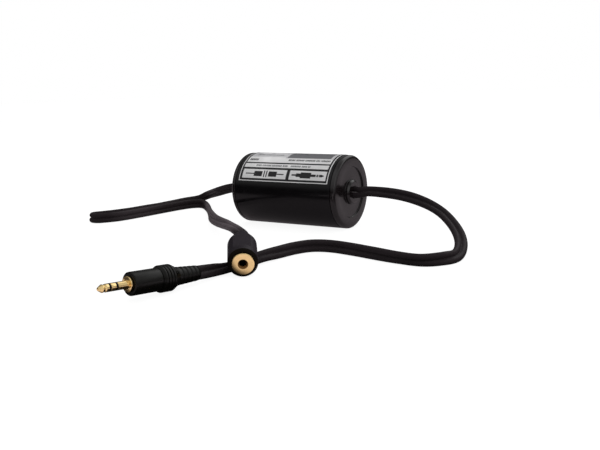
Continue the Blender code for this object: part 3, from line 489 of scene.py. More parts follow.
NODE_MATERIALS = {
    "bush_rubber": plastic("bush_rubber", (0.02, 0.02, 0.02), 0.7, specular=0.3, grain=0.4, grain_scale=3000),
    "board_laminate": resist("board_laminate"),
    "core_steel": laminations("core_steel"),
    "bobbin_nylon": plastic("bobbin_nylon", (0.72, 0.70, 0.64), 0.45, grain=0.15),
    "winding_tape": tape("winding_tape"),
    "clamp_steel": metal("clamp_steel", (0.58, 0.58, 0.6), 0.34, stretch=(1, 6, 1)),
    "tinned_pin": metal("tinned_pin", (0.74, 0.74, 0.75), 0.28, stretch=(1, 1, 5)),
    "red_wire": plastic("red_wire", (0.45, 0.02, 0.02), 0.42, grain=0.1),
    "white_wire": plastic("white_wire", (0.75, 0.74, 0.7), 0.42, grain=0.1),
    "black_wire": plastic("black_wire", (0.015, 0.015, 0.015), 0.42, grain=0.1),
    "contact_plastic": CONTACT_BLACK,
    "spring_bronze": metal("spring_bronze", (0.68, 0.42, 0.22), 0.3, stretch=(1, 1, 5)),
}


# Meshes


def finish_piece(obj, nodes, sharp=32):
    """Shades a piece, ties it to the body and hides the nodes it stands for."""
    shape = bmesh.new()
    shape.from_mesh(obj.data)
    bmesh.ops.recalc_face_normals(shape, faces=shape.faces)
    shape.to_mesh(obj.data)
    shape.free()
    obj.data.shade_smooth()
    obj.data.set_sharp_from_angle(angle=math.radians(sharp))
    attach(obj, BODY)
    if nodes:
        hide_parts(*nodes)
    return obj


def mesh_object(name, points, faces, materials, matrix=None):
    """A mesh from points in millimetres, with its place in its vertices."""
    mesh = bpy.data.meshes.new(name)
    turn = Matrix.Identity(4) if matrix is None else matrix
    mesh.from_pydata([(turn @ Vector(p)) * MM for p in points], [], faces)
    for material in materials:
        mesh.materials.append(material)
    obj = bpy.data.objects.new(name, mesh)
    bpy.context.scene.collection.objects.link(obj)
    return obj


def filleted(profile, steps=4):
    """A profile of (radius, z, fillet) corners with each fillet turned into an arc."""
    corners = [(Vector((p[0], p[1])), p[2] if len(p) > 2 else 0) for p in profile]
    points = []
    for i, (here, fillet) in enumerate(corners):
        if not fillet or i in (0, len(corners) - 1):
            points.append(tuple(here))
            continue
        before = (corners[i - 1][0] - here).normalized()
        after = (corners[i + 1][0] - here).normalized()
        half = before.angle(after) / 2
        if half > math.radians(89):
            points.append(tuple(here))
            continue
        reach = fillet / math.tan(half)
        centre = here + (before + after).normalized() * (fillet / math.sin(half))
        first = here + before * reach - centre
        last = here + after * reach - centre
        turn = first.angle_signed(last)
        for k in range(steps + 1):
            angle = -turn * k / steps
            spun = Vector(
                (
                    first.x * math.cos(angle) - first.y * math.sin(angle),
                    first.x * math.sin(angle) + first.y * math.cos(angle),
                )
            )
            points.append(tuple(centre + spun))
    return points


def lathe(name, profile, matrix, material, segments=96, ring=False, outline=None):
    """A turned mesh about the matrix's Z. An outline gives the ring of points for a radius and a height."""
    points = []
    rings = []
    for radius, z in profile:
        if radius < 1e-6:
            rings.append([len(points)])
            points.append((0, 0, z))
            continue
        if outline:
            loop = outline(radius, z)
        else:
            loop = [
                (radius * math.cos(math.tau * k / segments), radius * math.sin(math.tau * k / segments))
                for k in range(segments)
            ]
        rings.append(list(range(len(points), len(points) + len(loop))))
        points += [(x, y, z) for x, y in loop]
    faces = []
    pairs = list(zip(rings, rings[1:]))
    if ring:
        pairs.append((rings[-1], rings[0]))
    for low, high in pairs:
        count = max(len(low), len(high))
        if count == 1:
            continue
        for k in range(count):
            n = (k + 1) % count
            if len(low) == 1:
                faces.append((low[0], high[k], high[n]))
            elif len(high) == 1:
                faces.append((low[k], high[0], low[n]))
            else:
                faces.append((low[k], high[k], high[n], low[n]))
    return mesh_object(name, points, faces, [material], matrix)


def repaint(obj, matrix, material, chosen):
    """Gives a second material to the faces whose corners all pass a test of radius and height."""
    obj.data.materials.append(material)
    inverse = matrix.inverted()
    for face in obj.data.polygons:
        places = [inverse @ (obj.data.vertices[i].co / MM) for i in face.vertices]
        if all(chosen(math.hypot(p.x, p.y), p.z) for p in places):
            face.material_index = 1


def bore(obj, cutters):
    """Cuts these solids out of a piece and removes them."""
    for cutter in cutters:
        modifier = obj.modifiers.new("bore", "BOOLEAN")
        modifier.object = cutter
        modifier.solver = "EXACT"
    bpy.context.view_layer.update()
    graph = bpy.context.evaluated_depsgraph_get()
    mesh = bpy.data.meshes.new_from_object(obj.evaluated_get(graph))
    obj.modifiers.clear()
    obj.data = mesh
    for cutter in cutters:
        bpy.data.objects.remove(cutter)


# Frames


def cap_matrix(side):
    """Frame of an end cap: Z points out of the barrel, X points up, and the origin is on its outer face."""
    out = Vector((side, 0, 0))
    up = Vector((0, 0, 1))
    turn = Matrix((up, out.cross(up), out)).transposed().to_4x4()
    return Matrix.Translation(Vector((0, 0, BARREL_RADIUS)) + out * CAP_FACE) @ turn


def axis_matrix(origin, direction):
    """Frame with Z along a direction and X as near to straight up as it can be."""
    along = direction.normalized()
    side = Vector((0, 0, 1)).cross(along).normalized()
    up = along.cross(side)
    return Matrix.Translation(origin) @ Matrix((up, side, along)).transposed().to_4x4()


def plug_matrix():
    """Frame of the plug: Z runs from its shoulder to its tip. Its collar rests on the table."""
    tail = Vector((math.cos(PLUG_AZIMUTH), math.sin(PLUG_AZIMUTH), -math.tan(PLUG_SLOPE))).normalized()
    lowest = (HANDLE_LENGTH + COLLAR_LENGTH) * math.sin(PLUG_SLOPE) + COLLAR_RADIUS * math.cos(PLUG_SLOPE)
    return axis_matrix(Vector((*PLUG_SHOULDER, lowest + TABLE_GAP)), -tail)


def jack_matrix():
    """Frame of the socket: Z points out of its face. Its front edge rests on the table."""
    level = Vector((math.cos(JACK_AZIMUTH), math.sin(JACK_AZIMUTH), 0))
    rear = level * math.cos(JACK_RISE) + Vector((0, 0, math.sin(JACK_RISE)))
    over = Vector((0, 0, math.cos(JACK_RISE))) - level * math.sin(JACK_RISE)
    return axis_matrix(Vector((*JACK_FOOT, TABLE_GAP)) + over * JACK_RADIUS, -rear)


def hole_places():
    """Middles of the two lead holes in a cap's frame."""
    half = HOLE_SPACING / 2
    return [
        (half * math.cos(HOLE_TILT), -half * math.sin(HOLE_TILT)),
        (-half * math.cos(HOLE_TILT), half * math.sin(HOLE_TILT)),
    ]


# Leads


def smooth_route(route, step):
    """Rows (x, y, z, twist) about a step apart on a smooth curve through the route's own rows."""
    rows = np.array(route, float)
    padded = np.vstack([2 * rows[0] - rows[1], rows, 2 * rows[-1] - rows[-2]])
    dense = []
    for p0, p1, p2, p3 in zip(padded, padded[1:], padded[2:], padded[3:]):
        slope = p2 - p0
        square = 2 * p0 - 5 * p1 + 4 * p2 - p3
        cube = 3 * p1 - p0 - 3 * p2 + p3
        for t in np.arange(0, 1, 1 / ROUTE_STEPS):
            dense.append((2 * p1 + slope * t + square * t**2 + cube * t**3) / 2)
    dense = np.array([*dense, rows[-1]])
    reach = np.concatenate([[0], np.cumsum(np.linalg.norm(np.diff(dense[:, :3], axis=0), axis=1))])
    goals = np.linspace(0, reach[-1], round(reach[-1] / step) + 1)
    return np.stack([np.interp(goals, reach, dense[:, k]) for k in range(4)], axis=1), goals


def lobe_loop(spread):
    """Points (u, v) of the figure-8's lobe on the +u side, from above the web round to below it."""
    start = math.pi - math.asin(WEB_HALF / LOBE_RADIUS)
    centre = LOBE_RADIUS * spread
    angles = np.linspace(start, -start, LOBE_POINTS)
    return [(centre + LOBE_RADIUS * math.cos(a), LOBE_RADIUS * math.sin(a)) for a in angles]


def twin_lead(name, rows, goals):
    """A figure-8 lead along the rows, whose two lobes part before they enter the cap at its start."""
    centres = rows[:, :3]
    tangents = np.gradient(centres, axis=0)
    tangents /= np.linalg.norm(tangents, axis=1)[:, None]
    up = np.array([0, 0, 1.0]) - tangents[:, 2:3] * tangents
    up /= np.linalg.norm(up, axis=1)[:, None]
    side = np.cross(tangents, up)
    twist = np.radians(rows[:, 3])[:, None]
    across = np.cos(twist) * up + np.sin(twist) * side
    through = np.cross(tangents, across)
    points = []
    faces = []

    def add(i, u, v):
        """Adds a point to section i, u along the line of the two lobes and v across it."""
        points.append(centres[i] + across[i] * u + through[i] * v)
        return len(points) - 1

    def bridge(first, second):
        """Joins two rings of as many points with faces."""
        count = len(first)
        for k in range(count):
            n = (k + 1) % count
            faces.append((first[k], second[k], second[n], first[n]))

    split = int(np.searchsorted(goals, SPLIT_LENGTH))
    widest = HOLE_SPACING / 2 / LOBE_RADIUS
    cusp = LOBE_RADIUS * (1 - math.cos(math.asin(WEB_HALF / LOBE_RADIUS))) * CUSP_SHARES[0]
    rise = WEB_HALF * CUSP_SHARES[1]
    before = None
    for i in range(split):
        share = 1 - goals[i] / goals[split]
        spread = 1 + (widest - 1) * share**SPLIT_POWER
        lobe = lobe_loop(spread)
        inner = LOBE_RADIUS * (spread - 1)
        edge = inner + cusp
        loops = []
        for sign in (1, -1):
            ring = [add(i, sign * u, sign * v) for u, v in lobe]
            ring += [add(i, sign * u, sign * v) for u, v in ((edge, -rise), (inner, 0), (edge, rise))]
            loops.append(ring)
        if before is None:
            faces.append(tuple(loops[0]))
            faces.append(tuple(loops[1]))
        else:
            bridge(before[0], loops[0])
            bridge(before[1], loops[1])
        before = loops
    lobe = lobe_loop(1)
    last = None
    for i in range(split, len(centres)):
        right = [add(i, u, v) for u, v in lobe]
        left = [add(i, -u, -v) for u, v in lobe]
        lower = add(i, 0, -WEB_HALF * GROOVE_SHARE)
        upper = add(i, 0, WEB_HALF * GROOVE_SHARE)
        loop = [*right, lower, *left, upper]
        if last is None:
            middle = add(i, 0, 0)
            bridge(before[0], [*right, lower, middle, upper])
            bridge(before[1], [*left, upper, middle, lower])
        else:
            bridge(last, loop)
        last = loop
    faces.append(tuple(last))
    return mesh_object(name, points, faces, [LEAD_BLACK])


def add_lead(name, cap, far, far_length, far_twist, route, far_end, with_pieces):
    """A lead from a cap's boss to the rear of the plug or the socket."""
    starts = (-LEAD_IN_CAP, LEAD_OUT, LEAD_STRAIGHT)
    ends = (LEAD_STRAIGHT, LEAD_OUT, -LEAD_IN_FAR)
    first = [(*(cap @ Vector((0, 0, BOSS_TOP + d))), CAP_TWIST) for d in starts]
    last = [(*(far @ Vector((0, 0, -far_length - d))), far_twist) for d in ends]
    rows, goals = smooth_route([*first, *route, *last], RING_STEP)
    lead = finish_piece(twin_lead(name + "_twin", rows, goals), [name], sharp=50)
    print(name, "is", round(float(goals[-1]), 1), "mm long")


# Barrel


def add_barrel():
    """The extruded tube between the caps."""
    half = CAP_FACE - CAP_FLANGE - SEAM
    inner = BARREL_RADIUS - TUBE_WALL
    profile = filleted(
        [
            (inner, half),
            (BARREL_RADIUS, half, 0.35),
            (BARREL_RADIUS, -half, 0.35),
            (inner, -half),
        ]
    )
    matrix = axis_matrix(Vector((0, 0, BARREL_RADIUS)), Vector((1, 0, 0)))
    tube = lathe("barrel_shell", profile, matrix, BLACK_CASE, segments=160, ring=True)
    finish_piece(tube, ["barrel_tube"])


def add_cap(word, frame_matrix):
    """A moulded cap: a rounded rim, a recess with a raised boss, two lead holes and a spigot."""
    profile = filleted(
        [
            (0, BOSS_TOP),
            (BOSS_RADIUS - BOSS_SLOPE, BOSS_TOP, 0.5),
            (BOSS_RADIUS, BOSS_TOP - BOSS_SHOULDER, 0.2),
            (BOSS_RADIUS, -STEP_DEPTH, 0.25),
            (STEP_RADIUS, -STEP_DEPTH, 0.25),
            (STEP_RADIUS, 0, 0.3),
            (BARREL_RADIUS, 0, CAP_ROUND),
            (BARREL_RADIUS, -CAP_FLANGE, 0.3),
            (SPIGOT_RADIUS, -CAP_FLANGE),
            (SPIGOT_RADIUS, -CAP_FLANGE - SPIGOT_LENGTH, 0.3),
            (SPIGOT_BORE, -CAP_FLANGE - SPIGOT_LENGTH, 0.3),
            (SPIGOT_BORE, -CAP_FLANGE),
            (POCKET_RADIUS, -CAP_FLANGE),
            (POCKET_RADIUS, POCKET_CEILING),
            (0, POCKET_CEILING),
        ],
        steps=6,
    )
    cap = lathe(f"{word}_cap_moulding", profile, frame_matrix, BLACK_CAP, segments=160)
    hole = [(0, HOLE_DEPTH), (HOLE_RADIUS, HOLE_DEPTH), (HOLE_RADIUS, -HOLE_DEPTH), (0, -HOLE_DEPTH)]
    cutters = []
    for x, y in hole_places():
        place = frame_matrix @ Matrix.Translation((x, y, 0))
        cutters.append(lathe("hole_cutter", hole, place, BLACK_CAP, segments=40))
    bore(cap, cutters)
    finish_piece(cap, [f"{word}_end_cap"])


# Label


def text_bars(x0, x1, angle0, angle1, ink, seed, gap=0.5):
    """A row of small bars of uneven width, in the place of a line of print."""
    draw = random.Random(seed)
    bars = []
    x = x0
    while x < x1 - BAR_ROOM:
        for _ in range(draw.randint(*WORD_BARS)):
            width = draw.uniform(*BAR_WIDTHS)
            if x + width > x1:
                break
            bars.append((x, x + width, angle0, angle1, ink))
            x += width + BAR_GAP
        x += gap
    return bars


def label_print():
    """Rectangles of the label's print: x range, angle range and ink, each over the ones before it."""
    black, white, silver, grey = 0, 1, 2, 3
    x0, x1 = LABEL_X
    a0, a1 = LABEL_ANGLES
    line = LABEL_BORDER
    line_angle = math.degrees(line / BARREL_RADIUS)
    prints = [
        (x0, x1, a0, a1, white),
        (x0 + line, x1 - line, a0 + line_angle, a1 - line_angle, black),
        (-28.9, 2.8, 51.5, 67.0, white),
        (5.0, 30.2, 51.5, 67.0, white),
        (-29.5, 30.0, 40.0, 47.8, white),
        (-29.5, 30.0, -45.0, 37.2, silver),
        (-29.5, -3.6, 22.5, 37.2, white),
        (-3.6, 30.0, 25.6, 37.2, white),
        (-2.4, 28.0, -1.5, 24.0, grey),
        (-24.5, -17.5, 4.0, 9.5, white),
        (-15.0, -6.0, 4.0, 9.5, white),
    ]
    middle = 59.25
    # An isolating transformer as a circuit symbol
    prints += [
        (-26.8, -20.6, middle - 0.9, middle + 0.9, black),
        (-20.6, -14.6, middle - 4.4, middle + 4.4, black),
        (-13.6, -12.8, middle - 5.6, middle + 5.6, black),
        (-11.9, -11.1, middle - 5.6, middle + 5.6, black),
        (-10.1, -4.1, middle - 4.4, middle + 4.4, black),
        (-4.1, 0.9, middle - 0.9, middle + 0.9, black),
    ]
    # A stereo plug as a pictogram
    prints += [
        (6.6, 9.6, middle - 1.3, middle + 1.3, black),
        (9.6, 12.6, middle - 3.0, middle + 3.0, black),
        (12.6, 19.8, middle - 4.8, middle + 4.8, black),
        (19.8, 23.2, middle - 2.0, middle + 2.0, black),
        (23.7, 24.9, middle - 2.0, middle + 2.0, black),
        (25.4, 27.6, middle - 2.0, middle + 2.0, black),
        (27.6, 28.6, middle - 1.1, middle + 1.1, black),
    ]
    prints += text_bars(-21.0, 1.8, 42.3, 45.6, grey, 3)
    prints += text_bars(3.9, 18.2, 42.3, 45.6, grey, 5)
    prints += text_bars(0.0, 29.4, 28.2, 32.4, black, 7)
    prints += text_bars(-28.2, -22.0, 28.0, 33.0, black, 11, gap=1.2)
    prints += text_bars(-26.0, -6.0, 13.0, 16.5, grey, 13)
    for row in range(4):
        angle = -36.0 + 8.0 * row
        prints += text_bars(-27.0, 8.0 + 5.0 * (row % 2), angle, angle + 3.4, grey, 20 + row)
    prints.append((18.0, 27.5, -38.0, -10.0, grey))
    return prints


def add_label():
    """The printed film: a curved sheet whose faces follow the edges of the print."""
    prints = label_print()
    xs = {round(v, 3) for p in prints for v in p[:2]}
    angles = {round(v, 3) for p in prints for v in p[2:4]}
    xs = sorted(xs)
    angles = sorted(angles | {round(v, 3) for v in np.arange(*LABEL_ANGLES, LABEL_ANGLE_STEP)})
    points = []
    for radius in reversed(LABEL_RADII):
        for a in angles:
            turn = math.radians(a)
            for x in xs:
                points.append((x, -radius * math.sin(turn), BARREL_RADIUS + radius * math.cos(turn)))
    wide = len(xs)
    tall = len(angles)
    layer = wide * tall
    faces = []
    inks = []
    for j in range(tall - 1):
        middle_angle = (angles[j] + angles[j + 1]) / 2
        across = [p for p in prints if p[2] < middle_angle < p[3]]
        for i in range(wide - 1):
            middle_x = (xs[i] + xs[i + 1]) / 2
            ink = [p[4] for p in across if p[0] < middle_x < p[1]][-1]
            a = j * wide + i
            faces.append((a, a + 1, a + 1 + wide, a + wide))
            inks.append(ink)
            faces.append((layer + a, layer + a + wide, layer + a + 1 + wide, layer + a + 1))
            inks.append(1)
    rim = [*range(wide), *range(2 * wide - 1, layer, wide)]
    rim += [*range(layer - 2, layer - wide - 1, -1), *range(layer - 2 * wide, 0, -wide)]
    for first, second in zip(rim, rim[1:] + rim[:1]):
        faces.append((first, second, layer + second, layer + first))
        inks.append(1)
    film = mesh_object("label_film", points, faces, [FILM_INK, FILM_WHITE, FILM_SILVER, FILM_GREY])
    film.data.polygons.foreach_set("material_index", inks)
    finish_piece(film, ["label"])


# Plug


def add_plug(matrix):
    """Gold contacts with black rings between them, the moulded grip and the ribbed strain relief."""
    tip_base = PLUG_LENGTH - TIP_LENGTH
    front_band = tip_base - CONTACT_GAP
    ring_top = front_band - (BAND_LENGTH + CONTACT_GAP)
    rear_band = ring_top - (RING_LENGTH + CONTACT_GAP)
    sleeve_top = rear_band - (BAND_LENGTH + CONTACT_GAP)
    tip = [
        (0, PLUG_LENGTH),
        *((radius, PLUG_LENGTH - back, fillet) for radius, back, fillet in TIP_OUTLINE),
        (PLUG_RADIUS, tip_base, 0.08),
        (SHANK_RADIUS, tip_base),
        (SHANK_RADIUS, SHANK_END),
        (0, SHANK_END),
    ]
    shapes = [("plug_tip_contact", tip, False, GOLD, "gold_plate", "plug_tip")]

    def band(name, top, length, material, slot, node):
        """Adds one of the short rings behind the tip."""
        profile = [
            (CONTACT_CORE, top),
            (PLUG_RADIUS, top, 0.06),
            (PLUG_RADIUS, top - length, 0.06),
            (CONTACT_CORE, top - length),
        ]
        shapes.append((name, profile, True, material, slot, node))

    plastic_band = (BAND_LENGTH, CONTACT_BLACK, "contact_plastic")
    band("plug_front_insulator", front_band, *plastic_band, "plug_tip_insulator")
    band("plug_ring_contact", ring_top, RING_LENGTH, GOLD, "gold_plate", "plug_ring")
    band("plug_rear_insulator", rear_band, *plastic_band, "plug_ring_insulator")
    sleeve = [
        (SLEEVE_BORE, sleeve_top),
        (PLUG_RADIUS, sleeve_top, 0.06),
        (PLUG_RADIUS, FLANGE_TOP, 0.15),
        (FLANGE_RADIUS, FLANGE_TOP, 0.18),
        (FLANGE_RADIUS, 0, 0.1),
        (PLUG_RADIUS, 0),
        (PLUG_RADIUS, SLEEVE_END),
        (SLEEVE_BORE, SLEEVE_END),
    ]
    shapes.append(("plug_sleeve_contact", sleeve, True, GOLD, "gold_plate", "plug_sleeve"))
    inner, floor = HANDLE_SOCKET
    handle = [
        (HANDLE_BORE, -HANDLE_GAP),
        (HANDLE_RADIUS, -HANDLE_GAP, 0.5),
        (HANDLE_RADIUS, -HANDLE_LENGTH, 0.12),
        (inner, -HANDLE_LENGTH),
        (inner, floor),
        (HANDLE_BORE, floor),
    ]
    shapes.append(("plug_grip", handle, True, PLUG_BLACK, "plug_plastic", "plug_handle"))
    front = -HANDLE_LENGTH - HANDLE_GAP
    boot = [
        (0, front),
        (COLLAR_RADIUS - COLLAR_EDGE, front, 0.2),
        (COLLAR_RADIUS, front - COLLAR_EDGE, 0.3),
    ]
    mouth, bottom = GROOVE_HALVES
    for place in GROOVES:
        z = front - place
        boot += [
            (COLLAR_RADIUS, z + mouth, 0.1),
            (COLLAR_RADIUS - GROOVE_DEPTH, z + bottom, 0.1),
            (COLLAR_RADIUS - GROOVE_DEPTH, z - bottom, 0.1),
            (COLLAR_RADIUS, z - mouth, 0.1),
        ]
    collar_rear = front - COLLAR_LENGTH
    cone_rear = collar_rear - COLLAR_CONE
    boot.append((COLLAR_RADIUS, collar_rear, 0.3))
    widest, narrowest = BOOT_RADII
    pitch = BOOT_LENGTH / BOOT_RIBS
    for i in range(BOOT_RIBS):
        radius = widest - (widest - narrowest) * i / BOOT_RIBS
        z = cone_rear - i * pitch
        boot += [
            (radius, z, 0.2),
            (radius, z - RIB_LENGTH, 0.2),
            (radius - RIB_DEPTH, z - RIB_LENGTH - RIB_SLOPE, 0.12),
            (radius - RIB_DEPTH, z - pitch + RIB_SLOPE, 0.12),
        ]
    end = cone_rear - BOOT_LENGTH
    boot += [(narrowest, end + 0.5, 0.1), (narrowest, end, 0.3), (0, end)]
    shapes.append(("plug_strain_relief", boot, False, PLUG_BLACK, "plug_plastic", "plug_boot"))
    names = []
    for name, profile, ring, material, slot, node in shapes:
        piece = lathe(name, filleted(profile), matrix, material, segments=72, ring=ring)
        names.append(finish_piece(piece, [node]))
    return names


# Socket


def flat_outline(radius, z):
    """A ring of the socket's body: a circle, cut by two flats between its collar and its taper."""
    flat = -JACK_FLAT_END < z < -JACK_COLLAR - 0.05
    edge = math.acos(JACK_FLAT / JACK_RADIUS)
    if flat and radius > JACK_FLAT:
        edge = math.acos(JACK_FLAT / radius)
    elif radius < JACK_RADIUS - 1:
        edge = 0.1
    loop = []
    flat_points = 10
    round_points = 26
    for side in (0, math.pi):
        for k in range(flat_points):
            a = side - edge + 2 * edge * k / flat_points
            x = radius * math.cos(a)
            if flat and abs(x) > JACK_FLAT:
                x = math.copysign(JACK_FLAT, x)
            loop.append((x, radius * math.sin(a)))
        for k in range(round_points):
            a = side + edge + (math.pi - 2 * edge) * k / round_points
            loop.append((radius * math.cos(a), radius * math.sin(a)))
    return loop


def add_jack(matrix):
    """The moulded body, hollow at its front, and the gold bush whose face stands proud of it."""
    straight_end = -JACK_STRAIGHT + 0.8
    front = filleted(
        [
            (0, WELL_END),
            (WELL_RADIUS, WELL_END),
            (WELL_RADIUS, LIP_END),
            (LIP_RADIUS, LIP_END),
            (LIP_RADIUS, 0, 0.15),
            (JACK_RADIUS, 0, 0.6),
            (JACK_RADIUS, -JACK_COLLAR),
        ]
    )
    body = [(JACK_RADIUS, -JACK_COLLAR - 0.06)]
    body += [(JACK_RADIUS, z) for z in np.linspace(-JACK_COLLAR - 0.5, straight_end, 5)]
    taper = filleted(
        [
            (JACK_RADIUS, straight_end),
            (JACK_RADIUS, -JACK_STRAIGHT, 0.5),
            (JACK_REAR_RADIUS, -JACK_LENGTH, 0.6),
            (0, -JACK_LENGTH),
        ],
        steps=6,
    )[1:]
    cone = []
    parts = 12
    for low, high in zip(taper, taper[1:]):
        cone.append(low)
        if high[1] - low[1] < -2:
            cone += [tuple(Vector(low).lerp(Vector(high), k / parts)) for k in range(1, parts)]
    cone.append(taper[-1])
    body_piece = lathe("socket_body", [*front, *body, *cone], matrix, JACK_BLACK, outline=flat_outline)
    # Painted shade: the socket's front gets the darker copy of its black
    repaint(body_piece, matrix, JACK_FRONT_SHADE, lambda radius, z: z > -FRONT_DEPTH)
    finish_piece(body_piece, ["jack_housing"])
    bush = filleted(
        [
            (BUSH_BORE, -0.2),
            (BUSH_MOUTH, FACE_TOP, 0.08),
            (FACE_RADIUS, FACE_TOP, 0.35),
            (FACE_RADIUS + 0.05, FACE_SEAT),
            (BUSH_STEM, FACE_SEAT),
            (BUSH_STEM, BUSH_END),
            (BUSH_BORE, BUSH_END),
        ]
    )
    face = lathe("socket_face_bush", bush, matrix, GOLD, segments=96, ring=True)
    # Painted reflection of the dark bore on the bush's gold throat
    repaint(face, matrix, BORE_DARK_REFLECTION, lambda radius, z: radius < THROAT_RADIUS and z > -THROAT_DEPTH)
    finish_piece(face, ["jack_bush"])
    return [body_piece, face]


# Surroundings


def add_floor():
    """A table that is white to the camera, with soft shadows. Reflections show it in dark and pale parts."""
    mesh = bpy.data.meshes.new("table")
    reach = 6
    corners = [(-reach, -reach, 0), (reach, -reach, 0), (reach, reach, 0), (-reach, reach, 0)]
    mesh.from_pydata(corners, [], [(0, 1, 2, 3)])
    table = bpy.data.objects.new("table", mesh)
    bpy.context.scene.collection.objects.link(table)
    material = bpy.data.materials.new("table_white")
    material.use_nodes = True
    tree = material.node_tree
    tree.nodes.clear()
    path = tree.nodes.new("ShaderNodeLightPath")
    out = tree.nodes.new("ShaderNodeOutputMaterial")

    def diffuse(value):
        node = tree.nodes.new("ShaderNodeBsdfDiffuse")
        node.inputs["Color"].default_value = (value, value, value, 1)
        return node.outputs[0]

    def glow(value):
        node = tree.nodes.new("ShaderNodeEmission")
        node.inputs["Strength"].default_value = value
        return node.outputs[0]

    def both(first, second):
        node = tree.nodes.new("ShaderNodeAddShader")
        tree.links.new(first, node.inputs[0])
        tree.links.new(second, node.inputs[1])
        return node.outputs[0]

    def choose(share, no, yes):
        node = tree.nodes.new("ShaderNodeMixShader")
        tree.links.new(share, node.inputs[0])
        tree.links.new(no, node.inputs[1])
        tree.links.new(yes, node.inputs[2])
        return node.outputs[0]

    split = tree.nodes.new("ShaderNodeSeparateXYZ")
    tree.links.new(tree.nodes.new("ShaderNodeNewGeometry").outputs["Position"], split.inputs[0])

    def zone(axis, change, low, high):
        """A value that goes from low to high over a change's stretch of an axis."""
        start, end = change
        node = tree.nodes.new("ShaderNodeMapRange")
        node.interpolation_type = "SMOOTHSTEP"
        tree.links.new(split.outputs[axis], node.inputs["Value"])
        for key, value in (("From Min", start), ("From Max", end), ("To Min", low), ("To Max", high)):
            node.inputs[key].default_value = value
        return node.outputs["Result"]

    def blend(share, no, yes):
        node = tree.nodes.new("ShaderNodeMix")
        tree.links.new(share, node.inputs[0])
        tree.links.new(no, node.inputs[2])
        if isinstance(yes, float):
            node.inputs[3].default_value = yes
        else:
            tree.links.new(yes, node.inputs[3])
        return node.outputs[0]

    shaded = zone("X", BACK_SHADED_X, FLOOR_MIRRORED, FLOOR_SHADED)
    back = blend(zone("Y", BACK_OPEN_Y, 0, 1), shaded, FLOOR_MIRRORED)
    far = zone("X", FAR_LIT_X, FLOOR_DARK, FRONT_MIRRORED)
    near = zone("X", NEAR_LIT_X, FLOOR_DARK, FRONT_MIRRORED)
    near = blend(zone("X", NEAR_DARK_X, 0, 1), near, FLOOR_DARK)
    front = blend(zone("Y", FAR_FRONT_Y, 1, 0), near, far)
    level = blend(zone("Y", FRONT_Y, 0, 1), front, back)
    tint = tree.nodes.new("ShaderNodeMix")
    tint.data_type = "RGBA"
    tint.inputs[6].default_value = (0, 0, 0, 1)
    tint.inputs[7].default_value = (*FLOOR_TINT, 1)
    tree.links.new(level, tint.inputs[0])
    lit = tree.nodes.new("ShaderNodeBsdfDiffuse")
    pool = tree.nodes.new("ShaderNodeEmission")
    pool.inputs["Strength"].default_value = FLOOR_GLOW
    for node in (lit, pool):
        tree.links.new(tint.outputs[2], node.inputs["Color"])
    seen = both(glow(FLOOR_SEEN[0]), diffuse(FLOOR_SEEN[1]))
    mirrored = both(pool.outputs[0], lit.outputs[0])
    shader = choose(path.outputs["Is Glossy Ray"], diffuse(FLOOR_SOFT), mirrored)
    shader = choose(path.outputs["Is Transmission Ray"], shader, mirrored)
    shader = choose(path.outputs["Is Camera Ray"], shader, seen)
    tree.links.new(shader, out.inputs["Surface"])
    mesh.materials.append(material)


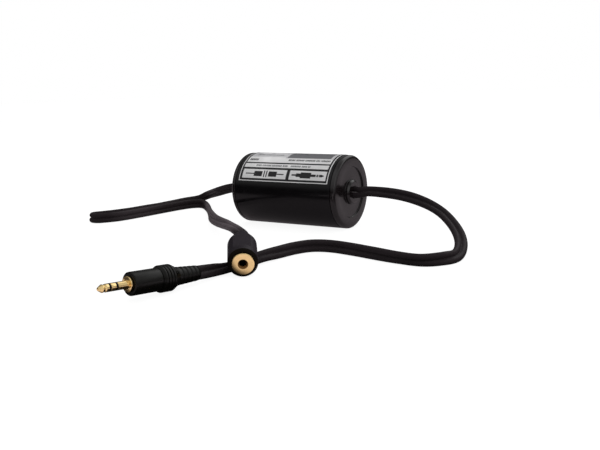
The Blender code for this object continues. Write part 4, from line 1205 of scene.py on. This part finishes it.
def add_world():
    """A room that is white to the camera. Reflections show a dark horizon, a pale front and a bright back."""
    world = bpy.data.worlds.new("studio")
    bpy.context.scene.world = world
    world.use_nodes = True
    tree = world.node_tree
    tree.nodes.clear()
    out = tree.nodes.new("ShaderNodeOutputWorld")
    path = tree.nodes.new("ShaderNodeLightPath")
    split = tree.nodes.new("ShaderNodeSeparateXYZ")
    tree.links.new(tree.nodes.new("ShaderNodeTexCoord").outputs["Generated"], split.inputs[0])

    def rise(axis, start, end):
        """A value that goes from 0 to 1 along an axis of the view's direction."""
        node = tree.nodes.new("ShaderNodeMapRange")
        node.interpolation_type = "SMOOTHSTEP"
        tree.links.new(split.outputs[axis], node.inputs["Value"])
        node.inputs["From Min"].default_value = start
        node.inputs["From Max"].default_value = end
        return node.outputs["Result"]

    def times_add(first, second, third):
        """The first times the second, plus the third."""
        node = tree.nodes.new("ShaderNodeMath")
        node.operation = "MULTIPLY_ADD"
        for socket, value in zip(node.inputs, (first, second, third)):
            if isinstance(value, (int, float)):
                socket.default_value = value
            else:
                tree.links.new(value, socket)
        return node.outputs[0]

    strength = times_add(rise("Z", 0.08, 1.0), SKY_TOP, SKY_LOW)
    front = times_add(rise("Z", 0.1, 0.3), rise("Y", 0, -0.4), 0)
    strength = times_add(front, SKY_FRONT, strength)
    right = times_add(rise("Z", 0, 0.1), rise("X", 0.6, 0.75), 0)
    strength = times_add(right, SKY_RIGHT, strength)
    back = times_add(rise("Z", 0.25, 0.5), rise("Y", 0.3, 0.6), 0)
    back = times_add(back, rise("X", -0.35, -0.1), 0)
    strength = times_add(back, SKY_BACK, strength)
    mirrored = tree.nodes.new("ShaderNodeBackground")
    tree.links.new(strength, mirrored.inputs["Strength"])
    soft = tree.nodes.new("ShaderNodeBackground")
    soft.inputs["Strength"].default_value = SKY_SOFT
    seen = tree.nodes.new("ShaderNodeBackground")
    for node in (soft, mirrored, seen):
        node.inputs["Color"].default_value = (1, 1, 1, 1)
    shader = soft
    for ray, light in (("Is Glossy Ray", mirrored), ("Is Camera Ray", seen)):
        choice = tree.nodes.new("ShaderNodeMixShader")
        tree.links.new(path.outputs[ray], choice.inputs[0])
        tree.links.new(shader.outputs[0], choice.inputs[1])
        tree.links.new(light.outputs[0], choice.inputs[2])
        shader = choice
    tree.links.new(shader.outputs[0], out.inputs["Surface"])


def add_lamp(name, place, target, size, power):
    """A soft rectangular lamp that reflections don't show."""
    data = bpy.data.lights.new(name, "AREA")
    data.shape = "RECTANGLE"
    data.size, data.size_y = size
    data.energy = power
    lamp = bpy.data.objects.new(name, data)
    direction = Vector(target) - Vector(place)
    lamp.matrix_world = Matrix.Translation(place) @ direction.to_track_quat("-Z", "Y").to_matrix().to_4x4()
    lamp.visible_glossy = False
    bpy.context.scene.collection.objects.link(lamp)


def main():
    """Builds the pieces, gives the inner solids their materials and adds the surroundings."""
    add_camera()
    caps = {"right": cap_matrix(1), "left": cap_matrix(-1)}
    plug = plug_matrix()
    jack = jack_matrix()
    plug_pieces = add_plug(plug)
    jack_pieces = add_jack(jack)
    jack_pieces += [frame["nodes"][n] for n in ("jack_contact_block", "jack_tip_spring", "jack_ring_spring")]
    plug_end = (plug, BOOT_END, BOOT_TWIST)
    jack_end = (jack, JACK_LENGTH, JACK_TWIST)
    add_lead("plug_lead", caps["right"], *plug_end, PLUG_LEAD_ROUTE, "plug", plug_pieces)
    add_lead("jack_lead", caps["left"], *jack_end, JACK_LEAD_ROUTE, "connector", jack_pieces)
    add_barrel()
    for word, matrix in caps.items():
        add_cap(word, matrix)
    add_label()
    slots = {row["node"]: row["material_slot"] for row in frame["record"]["subparts"]}
    for name, node in frame["nodes"].items():
        material = NODE_MATERIALS.get(slots[name])
        if material and not node.hide_render:
            node.data.materials.clear()
            node.data.materials.append(material)
    add_floor()
    add_world()
    for lamp in LAMPS:
        add_lamp(*lamp)
    bpy.context.scene.view_settings.view_transform = "Standard"


main()
